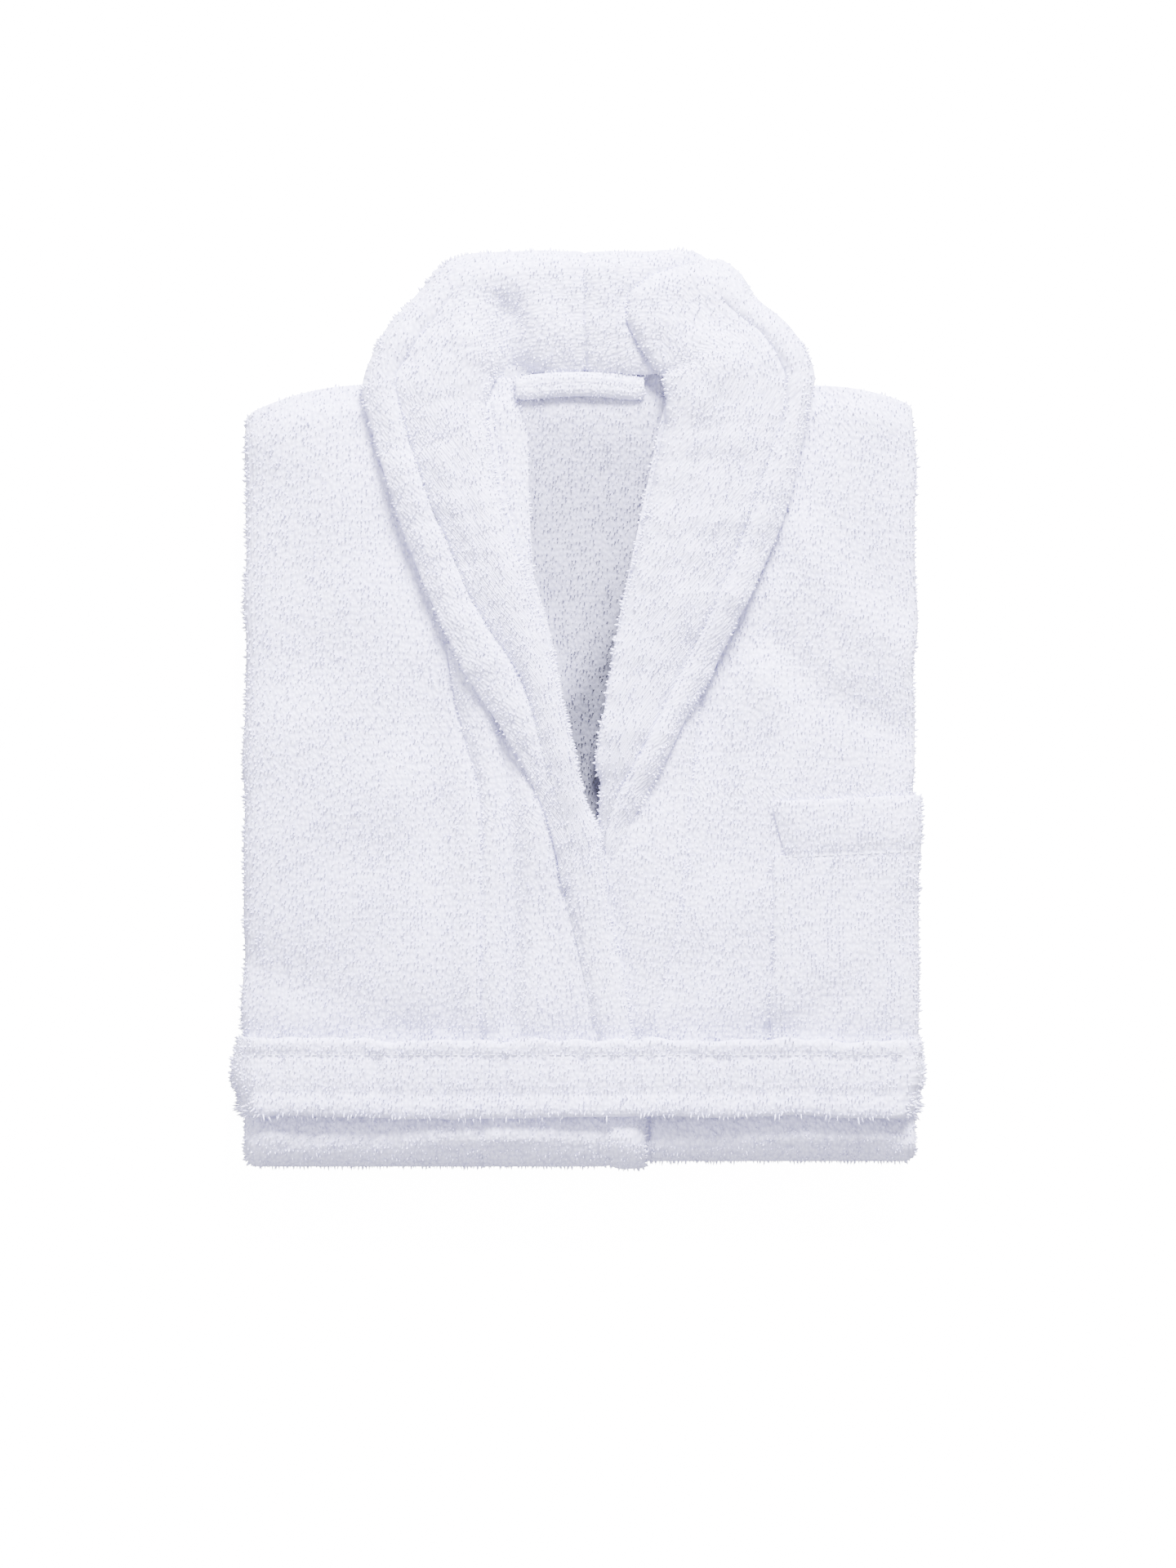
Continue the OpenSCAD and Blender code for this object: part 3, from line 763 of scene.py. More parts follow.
def lofted(stations, side, inner_n, outer_n, step):
    """Grid of a collar half from stations of inner edge, stitch line and free edge.
    Each station is (inner x, y), (stitch x, y), (edge x, y), then the heights of the top at
    the inner edge, crown, stitch line and free edge, and of the underside within and without."""
    fine = catmull([(*i, *g, *o, *rest) for i, g, o, *rest in stations], 20)
    outer = fine[:, 4:6]
    s = resample(fine, (steps(outer) + steps((fine[:, 0:2] + outer) / 2)) / 2, step)
    a = np.linspace(0, 1, inner_n)
    a = a - 0.10 * np.sin(2 * math.pi * a) / math.pi * 1.6
    c = np.linspace(0, 1, outer_n)[1:]
    c = c - 0.06 * np.sin(2 * math.pi * c)
    inner, stitch, edge = s[:, 0:2].copy(), s[:, 2:4], s[:, 4:6]
    y = inner[:, 1]
    inner[:, 0] += 6.0 * side * smooth(206, 186, y) * smooth(-92, -50, y)  # a wider opening
    if side > 0:
        inner[:, 0] -= 4.5 * smooth(90, 20, y) * smooth(-46, -30, y)
    width = np.linalg.norm(stitch - inner, axis=1)
    margin = np.linalg.norm(edge - stitch, axis=1)
    z_in, z_crown, z_stitch, z_edge, low_in, low_out = s[:, 6:12].T
    low_end = (-40, 5) if side < 0 else (-75, -40)
    groove = 2.5 * smooth(262, 236, stitch[:, 1]) * smooth(*low_end, stitch[:, 1])
    reach = np.minimum(lerp(13.0, 34.0, smooth(186, 214, inner[:, 1])), np.maximum(0.5 * width, 5))
    grid, tops, lows, bares = [], [], [], []
    for k in a:
        d_in, d_out = k * width, (1 - k) * width
        top = lerp(z_in, z_crown, np.sin(np.clip(d_in / reach, 0, 1) * math.pi / 2) ** 0.8)
        top = lerp(top, z_stitch, smooth(1.0, 0.0, d_out / np.maximum(0.5 * width, 4)) * 0.85)
        top = top - groove * np.exp(-(d_out / 2.2) ** 2)
        grid.append(inner + (stitch - inner) * k)
        tops.append(top)
        bares.append(np.exp(-(d_out / 1.7) ** 2))
        lows.append(lerp(low_in, low_out, k * width / np.maximum(width + margin, 1)))
    for k in c:
        d = k * margin
        base = lerp(z_stitch, z_edge, k ** 2)
        top = base + groove * (np.sin(math.pi * np.clip(k * 1.02, 0, 1)) - np.exp(-(d / 2.2) ** 2))
        grid.append(stitch + (edge - stitch) * k)
        tops.append(top)
        bares.append(np.exp(-(d / 1.7) ** 2))
        lows.append(lerp(low_in, low_out, (width + d) / np.maximum(width + margin, 1)))
    bare = np.array(bares) * (groove / 2.4)
    return np.array(grid), np.array(tops), np.array(lows), stitch, bare


def collar_slab(stations, side, shape, inner_n=26, outer_n=11, step=2.4):
    """A collar half as a closed cloth, with its stitch line; shape moves the top's height."""
    xy, top, low, stitch, bare = lofted(stations, side, inner_n, outer_n, step)
    x, y = xy[..., 0], xy[..., 1]
    sway = swell(x, np.minimum(y, 170)) * smooth(-75, -30, y)
    top = top + shape(x, y) + 0.55 * drift(x, y, 41 + side, 34) + 0.3 * drift(x, y, 51 + side, 15)
    top, low = top + sway, low + sway
    half = np.maximum((top - low) / 2, 1.5)
    mid = np.stack([x, y, top - half], axis=2)
    seam_z = top[inner_n - 1] + 0.9
    line = np.stack([stitch[:, 0], stitch[:, 1], seam_z], axis=1)
    nap = 1 - 0.8 * bare - 0.75 * bell(x - 3, 2.2) * smooth(200, 215, y)
    pile = 1 - 0.85 * bell(x - 3, 1.8) * smooth(200, 215, y)
    return slab(mid, half, pile=pile, nap=nap, side=-side, under=0.25), line


RIGHT_COLLAR = [
    ((3, 210), (3, 268), (3, 277), 41, 47, 47, 41, 37, 30),
    ((-18, 209), (-28, 268), (-34, 277), 41, 48, 47, 41, 37, 30),
    ((-36, 207), (-55, 266), (-62, 276), 41, 49, 48, 41, 37, 30),
    ((-46, 205), (-72, 259), (-81, 270), 43, 52, 49, 42, 38, 31),
    ((-52, 204), (-84, 245), (-97, 251), 45, 55, 50, 44, 39, 33),
    ((-54, 201), (-100, 226), (-115, 230), 47, 56, 50.5, 46, 40, 35),
    ((-55, 194), (-112.5, 204), (-128, 202), 49, 56.5, 51, 48, 42, 38),
    ((-55, 182), (-110, 184), (-127.5, 184), 50.5, 56.5, 51.5, 49.5, 43, 43.5),
    ((-53, 165), (-104, 164), (-123, 165), 51, 56.5, 51.5, 50.5, 43, 45.8),
    ((-46, 127), (-91, 126), (-111, 125), 51, 56.5, 51.5, 51, 43, 46.3),
    ((-37, 98), (-79, 98), (-101, 97), 51, 56.5, 51.5, 51, 43, 46.3),
    ((-28, 72), (-67.5, 71), (-90, 70), 51, 56, 51.5, 51, 43, 46.3),
    ((-19, 46), (-54, 47), (-78, 43), 50.5, 55.5, 51.5, 51, 43, 46.3),
    ((-11, 18), (-36, 20), (-63, 15), 50, 54.5, 51.5, 50.6, 43, 46.3),
    ((-4, -10), (-27, -9), (-45, -12), 49.5, 53.5, 51.2, 50.2, 43, 46.0),
    ((2, -37), (-19, -36), (-31, -37), 49, 52.6, 51, 49.6, 43, 45.5),
    ((7, -60), (-11, -60), (-21, -60), 48.6, 51.6, 50.4, 48.8, 43, 44.8),
    ((11, -82), (-6, -84), (-13.5, -84), 48, 50.4, 49.6, 47.6, 43, 44),
    ((12, -106), (-4, -107), (-10, -107), 46.5, 48.4, 48, 46.0, 42.5, 43),
]
LEFT_COLLAR = [
    ((3, 210), (3, 268), (3, 277), 41, 47, 47, 41, 37, 30),
    ((20, 209), (28, 268), (36, 277), 41, 47, 47, 41, 37, 30),
    ((36, 208), (56, 266), (68, 277), 41, 48, 47, 41, 37, 30),
    ((47, 208), (78, 258), (90, 266), 43, 50, 49, 42, 38, 31),
    ((55, 209), (93, 244), (105, 249), 44.5, 54, 50, 44, 39, 33),
    ((58, 206), (113, 230), (126, 232), 46.5, 55, 50, 46, 40, 37),
    ((57, 202), (125, 208), (139.5, 208), 49.5, 55.5, 50, 46.5, 41, 38),
    ((55.5, 194), (126, 192), (139, 192), 49.5, 55, 50, 47, 41, 42),
    ((52, 183), (124, 177), (136.5, 177), 49.5, 54.5, 49.5, 47.5, 41, 43),
    ((47, 159), (117, 157), (132, 155), 49.5, 54.2, 49.5, 48, 41, 43),
    ((40.5, 129), (107, 129), (125.5, 127), 49.5, 54, 49.2, 48, 41, 43),
    ((33, 95), (94.5, 94), (112.5, 93), 49.2, 53.6, 49, 48, 41, 43),
    ((25, 55), (78, 56), (93, 53), 49, 53, 48.8, 48, 41, 43),
    ((21, 25), (62.5, 25), (78, 22), 49, 52.8, 48.8, 47.8, 41, 43),
    ((16, -5), (48, -5), (62, -6), 49, 52.2, 48.8, 47.6, 41, 42.8),
    ((12, -30), (34.5, -31), (49, -32), 48, 50.6, 48.6, 47.2, 40.5, 42.4),
    ((9, -52), (22, -54), (36, -55), 45.5, 48.0, 47.2, 46.0, 39.5, 41.5),
    ((10, -72), (17, -74), (27, -76), 42.5, 44.6, 44.6, 44.0, 38.5, 40),
    ((14, -94), (16, -95), (20, -96), 41, 42.6, 42.6, 42.4, 38.5, 40),
]


def back_seam(x, y):
    """The groove of the seam at the middle of the collar's back."""
    return 3.6 * bell(x - 3, 2.4) * smooth(200, 215, y)


def right_collar_shape(x, y):
    """Hollow beside the neck and the soft crease where the collar turns the corner."""
    rise = -8.0 * bell(to_line(x, y, [(-43, 206), (-45, 226), (-44, 240)]), 13)
    rise = rise + 1.6 * bell(to_line(x, y, [(-20, 214), (-22, 236), (-32, 262), (-52, 264)]), 8)
    rise = rise + 1.8 * bell(to_line(x, y, [(-68, 206), (-70, 236), (-62, 262)]), 8)
    rise = rise - back_seam(x, y)
    return rise - 2.0 * bell(to_line(x, y, [(-72, 150), (-60, 90), (-36, 20)]), 9)


def left_collar_shape(x, y):
    """The lapel's end lies on the back of the collar as a lobe with a crisp edge."""
    lobe = [(54, 205), (42, 221), (33, 240), (34, 253), (48, 262), (66, 267), (83, 272)]
    away = to_line(x, y, lobe)
    right = x - np.interp(y, [200, 205, 221, 240, 253, 300], [57, 54, 42, 33, 34, 34])
    above = y - np.interp(x, [0, 34, 48, 66, 83, 110], [253, 253, 262, 267, 272, 276])
    inside = np.where((right > 0) & (above < 0), away, -away)
    rise = 4.2 * smooth(-2.2, 1.8, inside) * smooth(62, 14, away) * smooth(112, 86, x)
    rise = rise - 3.4 * bell(inside + 3.4, 3.2) * smooth(100, 78, x)
    rise = rise - back_seam(x, y)
    crease = bell(to_line(x, y, [(84, 190), (66, 120), (44, 50), (30, 0)]), 9)
    back = smooth(150, 200, y)
    return (rise - 1.3 * crease) * back + (1 - back) * (-2.1 * crease)


# ---------- what a user can change ----------

class BathrobeCloth(bpy.types.PropertyGroup):
    """Sizes and colours of the terry."""
    light: bpy.props.FloatVectorProperty(
        name="Loop Colour", description="Colour of the loops where they catch the light", size=3,
        subtype="COLOR", default=(0.76, 0.75, 0.95), min=0, max=1)
    # The ground colour is far darker than the loops' colour: painted shade between the loops.
    shade: bpy.props.FloatVectorProperty(
        name="Ground Colour", description="Colour of the ground cloth between the loops", size=3,
        subtype="COLOR", default=(0.30, 0.295, 0.46), min=0, max=1)
    # The stitches are real thread; their grey colour is painted shade of the groove they lie in.
    thread: bpy.props.FloatVectorProperty(
        name="Thread Colour", description="Colour of the sewing thread", size=3,
        subtype="COLOR", default=(0.5, 0.51, 0.6), min=0, max=1)
    spacing: bpy.props.FloatProperty(
        name="Loop Spacing", description="Least distance between two loops", unit="LENGTH",
        default=0.0020, min=0.001, max=0.01)
    loop_height: bpy.props.FloatProperty(
        name="Loop Height", description="How far a loop stands up", unit="LENGTH",
        default=0.0021, min=0.0005, max=0.01)
    loop_width: bpy.props.FloatProperty(
        name="Loop Width", description="Radius of a loop's foot", unit="LENGTH",
        default=0.00064, min=0.0002, max=0.005)
    lean: bpy.props.FloatProperty(
        name="Lean", description="Most that a loop leans over", subtype="ANGLE",
        default=0.5, min=0, max=1.5)
    wale: bpy.props.FloatProperty(
        name="Wale", description="Width of a row of loops", unit="LENGTH",
        default=0.0022, min=0.0005, max=0.01)


class BathrobeStitches(bpy.types.PropertyGroup):
    """Sizes of the topstitching."""
    length: bpy.props.FloatProperty(
        name="Stitch Length", description="Length of one stitch", unit="LENGTH",
        default=0.0032, min=0.001, max=0.01)
    gap: bpy.props.FloatProperty(
        name="Gap", description="Space between two stitches", unit="LENGTH",
        default=0.0013, min=0, max=0.01)
    radius: bpy.props.FloatProperty(
        name="Thread Radius", description="Half the thickness of the thread", unit="LENGTH",
        default=0.0004, min=0.0001, max=0.002)


class BathrobeBelt(bpy.types.PropertyGroup):
    """Sizes of the belt."""
    thickness: bpy.props.FloatProperty(
        name="Belt Thickness", description="Thickness of the belt, both layers", unit="LENGTH",
        default=0.0034, min=0.001, max=0.01)
    turns: bpy.props.FloatProperty(
        name="Turns", description="How often the belt goes round the robe", default=1.97, min=1, max=3)
    corner: bpy.props.FloatProperty(
        name="Corner Radius", description="How tightly it bends at the sides", unit="LENGTH",
        default=0.017, min=0.005, max=0.03)


class BathrobeStudio(bpy.types.PropertyGroup):
    """Light and camera."""
    key: bpy.props.FloatProperty(name="Key Light", description="Power of the main soft light in watts",
                                 default=820.0, min=0)
    fill: bpy.props.FloatProperty(name="Fill Light", description="Power of the fill lights in watts",
                                  default=55.0, min=0)
    sky: bpy.props.FloatProperty(name="Sky", description="Strength of the even light from all round",
                                 default=1.25, min=0)
    distance: bpy.props.FloatProperty(
        name="Camera Distance", description="Height of the camera over the robe", unit="LENGTH",
        default=3.0, min=0.5)


SETTINGS = {"cloth": BathrobeCloth, "stitches": BathrobeStitches, "belt": BathrobeBelt,
            "studio": BathrobeStudio}


# ---------- one operator for each piece ----------

class PieceOperator(bpy.types.Operator):
    """Base of the operators: each builds its piece and finishes."""
    bl_options = {"REGISTER", "UNDO"}

    def execute(self, context):
        self.build()
        return {"FINISHED"}


class MakeStudio(PieceOperator):
    """Camera, floor and soft light"""
    bl_idname = "bathrobe.studio"
    bl_label = "Studio"

    def build(self):
        s = bpy.context.scene.bathrobe_studio
        centre = Vector((0.005, -0.045, 0.045))
        camera = bpy.data.objects.new("Camera", bpy.data.cameras.new("Camera"))
        bpy.context.scene.collection.objects.link(camera)
        bpy.context.scene.camera = camera
        camera.location = centre + Vector((0, 0, s.distance))
        camera.data.sensor_fit = "VERTICAL"
        camera.data.sensor_height = 36.0
        camera.data.lens = 36.0 * s.distance / 0.96
        camera.data.clip_end = 50
        mesh = bpy.data.meshes.new("floor")
        mesh.from_pydata([(-6, -6, 0), (6, -6, 0), (6, 6, 0), (-6, 6, 0)], [], [(0, 1, 2, 3)])
        material, tree, shader = paint("studio_floor")
        shader.inputs["Base Color"].default_value = (0.9, 0.9, 0.9, 1)
        shader.inputs["Roughness"].default_value = 1.0
        shader.inputs["Specular IOR Level"].default_value = 0.0
        shader.inputs["Emission Color"].default_value = (1, 1, 1, 1)
        shader.inputs["Emission Strength"].default_value = 14.0
        floor = show("floor", mesh, material)
        floor.visible_diffuse = floor.visible_glossy = False  # so that it is bright but lights nothing
        for name, place, size, power in (("key", (0.42, 2.2, 1.35), 0.8, s.key),
                                         ("side", (-1.6, 0.2, 1.6), 1.3, s.fill),
                                         ("back", (0.9, -1.8, 1.7), 1.6, s.fill)):
            light = bpy.data.objects.new(name, bpy.data.lights.new(name, "AREA"))
            light.data.shape, light.data.size, light.data.energy = "DISK", size, power
            light.data.color = (0.93, 0.925, 1.0)
            light.location = place
            aim = Vector((0, -0.02, 0.03)) - Vector(place)
            light.rotation_euler = aim.to_track_quat("-Z", "Y").to_euler()
            bpy.context.scene.collection.objects.link(light)
        world = bpy.data.worlds.new("studio_world")
        world.use_nodes = True
        sky = world.node_tree.nodes["Background"]
        sky.inputs["Color"].default_value = (0.94, 0.935, 1.0, 1)
        sky.inputs["Strength"].default_value = s.sky
        bpy.context.scene.world = world


class MakeFronts(PieceOperator):
    """Both front panels, folded round the sides and the bottom"""
    bl_idname = "bathrobe.fronts"
    bl_label = "Front Panels"

    def build(self):
        for name, side, seam, relief in (("right_front", -1, RIGHT_SEAM, right_relief),
                                         ("left_front", 1, LEFT_SEAM, left_relief)):
            def both(x, y, relief=relief, seam=seam):
                return swell(x, y) + np.maximum(relief(x, y) - seam_dip(x, y, seam), DEEPEST - 0.4)

            mid, outer, edge = panel(side, seam, LEVEL[name], LEVEL["front_flap"], both)
            under = below(mid)
            slabs = [slab(mid, HALF, pile=outer * np.where(under, 0.35, 1.0),
                          nap=np.where(under, 0.5, 1.0), side=-side),
                     hem_turn(at_y(seam, Y_FOLD), side * edge, LEVEL[name], LEVEL["hem_front"], side)]
            put_on(name, slabs, "body", "robe", seed=5 + side)


class MakeBands(PieceOperator):
    """Both front bands, with the puffed hem of the overlap and the inner edge of the neck"""
    bl_idname = "bathrobe.bands"
    bl_label = "Front Bands"

    def build(self):
        def margin(x, y):
            stitch = at_y(OVERLAP_STITCH, y)
            edge = at_y(RIGHT_EDGE, y)
            deep = smooth(0, 5, x - stitch) * smooth(-0.5, 4.5, edge - x)
            groove = bell(x - stitch, 2.4)
            return smooth(-40, -72, y) * (2.6 * deep - 1.3 * groove)

        def right(x, y):
            drop = 1.2 * smooth(-40, -90, y) * bell(x - at_y(RIGHT_EDGE, y), 4)
            return swell(x, y) + band_relief(x, y) - drop - seam_dip(x, y, RIGHT_SEAM)

        def left(x, y):
            under_edge = 2.0 * smooth(-60, -80, y) * bell(x - at_y(RIGHT_EDGE, y) - 5, 6)
            return (swell(x, y) - seam_dip(x, y, LEFT_SEAM)
                    + folds(x, y, (-4.5, 4.5, [(6, -34), (9, -52), (12, -72)]),
                            (0.8, 9, [(48, -60), (44, -130), (36, -190)])) - under_edge)

        mid, half = strip_band(RIGHT_SEAM, RIGHT_BAND_EDGE, LEVEL["right_front"], right, 30, margin)
        x, y = mid[..., 0], mid[..., 1]
        by_collar = (mid[..., 2] > FOLD_Z) & (y > 0) & (x > at_y(RIGHT_SEAM, y) + 12)
        pile = np.where(below(mid), 0.35, 1.0) * np.where(by_collar, 0.5, 1.0)
        slabs = [slab(mid, half, pile=pile, side=-1),
                 hem_turn(-60, 39, LEVEL["right_front"], LEVEL["hem_front"], 1), self.neck_edge()]
        stitch = catmull([p for p in OVERLAP_STITCH if p[1] > -275], 24)
        stitch = resample(stitch, steps(stitch), 2.0, more=1)
        z = mid_z(LEVEL["right_front"]) + HALF + right(stitch[:, 0], stitch[:, 1]) + 0.2
        put_on("right_front_band", slabs, "collar", "robe", seed=11,
               stitches=[np.column_stack([stitch, z])])

        mid, half = strip_band(LEFT_SEAM, LEFT_BAND_EDGE, LEVEL["left_front"], left, 26)
        covered = mid[..., 0] < at_y(RIGHT_EDGE, mid[..., 1]) - 4
        pile = np.where(below(mid), 0.2, 1.0) * np.where(covered, 0.0, 1.0)
        slabs = [slab(mid, half, pile=pile, side=1),
                 hem_turn(44, -45, LEVEL["left_front"], LEVEL["hem_front"], -1)]
        put_on("left_front_band", slabs, "collar", "robe", seed=12)

    def neck_edge(self):
        """The inner edge of the collar that lies inside the neck opening."""
        inner = [(-31, 205), (-30.5, 170), (-29.5, 124), (-27, 83), (-18.5, 55), (-10.5, 28),
                 (-5, 5), (1, -16), (4, -37), (6.5, -58)]
        y = np.linspace(203, -56, 90)
        share = np.linspace(0, 1, 14)[:, None]
        x_out, x_in = at_y(RIGHT_ROLL, y) - 8, at_y(inner, y) - 3 - 5 * smooth(60, -10, y)
        x = x_out + (x_in - x_out) * share
        sway = swell(x, y)
        z = 36.0 + 3.6 * np.sin(math.pi * np.clip(share * 1.15 - 0.1, 0, 1)) + sway * 0.5
        z = lerp(44.0 + sway, z, smooth(-50, -10, y))
        ribs = np.sin(x * 1.9) * 0.45 * bell(x - at_y(RIGHT_ROLL, y) - 4, 6) * smooth(110, 150, y)
        return slab(grid_of(x, y, z + ribs), 1.5, side=-1)


class MakeBack(PieceOperator):
    """The back panel, which shows its inside in the neck opening"""
    bl_idname = "bathrobe.back"
    bl_label = "Back Panel"

    def build(self):
        top, flap = mid_z(LEVEL["back"]), mid_z(LEVEL["back_flap"])
        radius, edge = (top - flap) / 2, SIDE_X - 11.5
        fan, roll = np.linspace(-1, 1, 71), np.linspace(0, math.pi, 6)[1:]
        flaps = np.linspace(0, 1, 10)[1:]
        x = [edge + radius * np.sin(roll), lerp(edge, FLAP_X, flaps)]
        b = [(top + flap) / 2 + radius * np.cos(roll), np.full(len(flaps), flap)]
        follow = [0.5 + 0.5 * np.cos(roll), 0.8 * smooth(0, 0.3, flaps)]
        section = (np.concatenate([-x[1][::-1], -x[0][::-1], fan * edge, *x]),
                   np.concatenate([b[1], b[0][::-1], np.full(len(fan), top), *b]) - FOLD_Z,
                   np.concatenate([follow[1][::-1], follow[0][::-1], np.ones(len(fan)), *follow]))

        def relief(x, y):
            low, high = at_y(RIGHT_ROLL, y), at_y(LEFT_ROLL, y)
            inside = smooth(-14, 6, x - low) * smooth(-14, 6, high - x) * smooth(-90, -30, y)
            valleys = np.minimum(np.where(x > 0, left_relief(x, y), right_relief(x, y)), 0)
            lowered = np.maximum(1.2 * valleys * smooth(28, 44, np.abs(x))
                                 - 2.6 * bell(x - at_y(LEFT_SEAM, y), 5)
                                 - 2.6 * bell(x - at_y(RIGHT_SEAM, y), 5), DEEPEST - 1.4)
            return (lowered - 6.3 * inside * smooth(200, 130, y) + swell(x, y) * (1 - inside * 0.6)
                    + 0.4 * drift(x, y, 61, 26) * inside)

        def end(x):
            middle = smooth(84, 52, np.abs(x))
            neck = Y_NECK * middle + shoulder(x) * (1 - middle)
            return neck - 1.0 + 5.0 * smooth(62, 50, np.abs(x))

        mid = run_along(path_rows(4.5), lambda y: section, end, relief)
        x, y = mid[..., 0], mid[..., 1]
        shown = ((mid[..., 2] > FOLD_Z) & (y > -95) & (x > at_y(RIGHT_ROLL, y) - 6)
                 & (x < at_y(LEFT_ROLL, y) + 6))
        pile = np.where(below(mid) | (y < Y_FOLD - 3), 0.25, np.where(shown, 1.0, 0.0))
        slabs = [slab(mid, HALF, pile=pile, side=-1),
                 hem_turn(-edge, edge, LEVEL["back"], LEVEL["hem_back"], 1)]
        # The inside finish carries painted shade: darker overall and darkest deep in the neck opening.
        put_on("back_panel", slabs, "inside", "robe", seed=17)


class MakeCollar(PieceOperator):
    """Both halves of the shawl collar, from the back seam down to the lapel's end"""
    bl_idname = "bathrobe.collar"
    bl_label = "Shawl Collar"

    def build(self):
        for word, side, stations, shape, hinge, axis in (
                ("right", -1, RIGHT_COLLAR, right_collar_shape,
                 Vector((12, -74, 46)), Vector((-69, 273, 0))),
                ("left", 1, LEFT_COLLAR, left_collar_shape,
                 Vector((5, -44, 43)), Vector((52, 243, 0)))):
            name, lapel = f"{word}_collar", f"{word}_lapel"
            body, line = collar_slab(stations, side, shape)
            away = axis.normalized().cross(Vector((0, 0, 1))) * side
            start, end = (hinge + away * 1.0) * MM, (hinge + away * 17.0) * MM
            if side > 0:
                rows = [line[(line[:, 1] < 236) & (line[:, 1] > -70)]]
            else:
                y = np.linspace(277, 213, 30)
                z = np.interp(y, [213, 222, 262, 277], [42.2, 45.2, 45.4, 40])
                rows = [line[line[:, 1] < 232], np.column_stack([np.full(30, 3.0), y, z])]
            put_on(name, [body], "collar", ("robe", lapel, start, end), seed=23 + side,
                   replaced=[name, lapel, f"{lapel}_under"], stitches=rows)


class MakeLoop(PieceOperator):
    """The hanging loop below the neck seam"""
    bl_idname = "bathrobe.hanging_loop"
    bl_label = "Hanging Loop"

    def build(self):
        lo, hi = corner("hanging_loop", 0), corner("hanging_loop", 1)
        t = np.linspace(-1, 1, 40)
        u = np.linspace(0, 1, 9)[:, None]
        bow = 1 - np.abs(t) ** 3.0
        upper = hi[1] - 0.8 - 3.2 * np.abs(t) ** 2.6
        lower = lo[1] - 0.4 + 3.6 * (1 - t ** 2) + 2.6 * np.abs(t) ** 12
        z = (lo[2] + 0.4 + (hi[2] - lo[2] - 7.0) * bow + 2.0 * np.sin(math.pi * u)
             - 0.9 * bell(u - 0.5, 0.12))
        mid = grid_of(t * (hi[0] - lo[0]) / 2, upper + (lower - upper) * u, z)
        put_on("hanging_loop", [slab(mid, 1.5, nap=0.8, side=1, under=0.4)], "trim", "hanging_loop",
               seed=31, spacing=0.9)


class MakePocket(PieceOperator):
    """The patch pocket and its cuff, wrapped round the left side"""
    bl_idname = "bathrobe.pocket"
    bl_label = "Patch Pocket"

    def build(self):
        lo, hi = corner("pocket", 0), corner("pocket", 1)
        cuff_lo, cuff_hi = corner("pocket_cuff", 0), corner("pocket_cuff", 1)
        top, flap = mid_z(LEVEL["left_front"]), mid_z(LEVEL["front_flap"])
        middle = (top + flap) / 2
        edge = SIDE_X - HALF - (top - flap) / 2 - 0.2
        across = np.linspace(0, 1, 34)
        roll = np.linspace(0, math.pi * 0.88, 11)[1:]
        follow = np.concatenate([np.ones(34), 0.5 + 0.5 * np.cos(roll)])
        for name, low, high, lift, puff in (("pocket", lo[1] - 12, cuff_lo[1] + 3, 2.3, 0.0),
                                            ("pocket_cuff", cuff_lo[1], cuff_hi[1], 3.2, 0.8)):
            cuff = name == "pocket_cuff"
            radius = (top - flap) / 2 + lift
            grid = []
            for y in np.linspace(high, low, int((high - low) / 2.6)):
                slant = (y - cuff_hi[1]) / (cuff_lo[1] - cuff_hi[1]) - 0.06
                start = 119 + (9.5 * np.clip(slant, 0, 1) if cuff else 1.2 * drift(y, 0, 77, 60))
                x = np.concatenate([lerp(start, edge, across), edge + radius * np.sin(roll)])
                z = np.concatenate([np.full(34, top + lift), middle + radius * np.cos(roll)])
                if cuff:
                    y = y + 3.5 * np.clip((x - 122) / 80, 0, 1)
                z = z + follow * (swell(x, y) + left_relief(x, y) * 0.8)
                grid.append(grid_of(x, y, z))
            mid = np.stack(grid, axis=1)
            near = np.minimum(mid[..., 0] - mid[:1, :, 0], 60)  # distance from the inner edge
            if cuff:
                v = (mid[..., 1] - mid[:, -1:, 1]) / (mid[:, :1, 1] - mid[:, -1:, 1])
                half = HALF + puff * np.sin(math.pi * v) ** 0.5 + 0.4 * bell(v - 1, 0.2)
                mid[..., 2] += (0.2 + puff * np.sin(math.pi * v) - 1.1 * bell(v - 0.14, 0.06)
                                - 1.6 * bell(near, 5))
                half = np.minimum(half, 1.3 + near * 0.12)
                line = mid[:36, int(mid.shape[1] * 0.86)] + np.array([0, 0, HALF + 0.5])
            else:
                mid[..., 2] += 1.2 * smooth(0, 26, near) - 0.9 * bell(near - 7, 2.2) - 0.5 * bell(near, 3)
                half = HALF + 0.4 * smooth(7, 3, near)
                line = mid[2] + np.array([0, 0, HALF + 0.3])
            put_on(name, [slab(mid, half, side=-1)], "trim" if cuff else "body", "robe",
                   seed=38 if cuff else 37, stitches=[line])


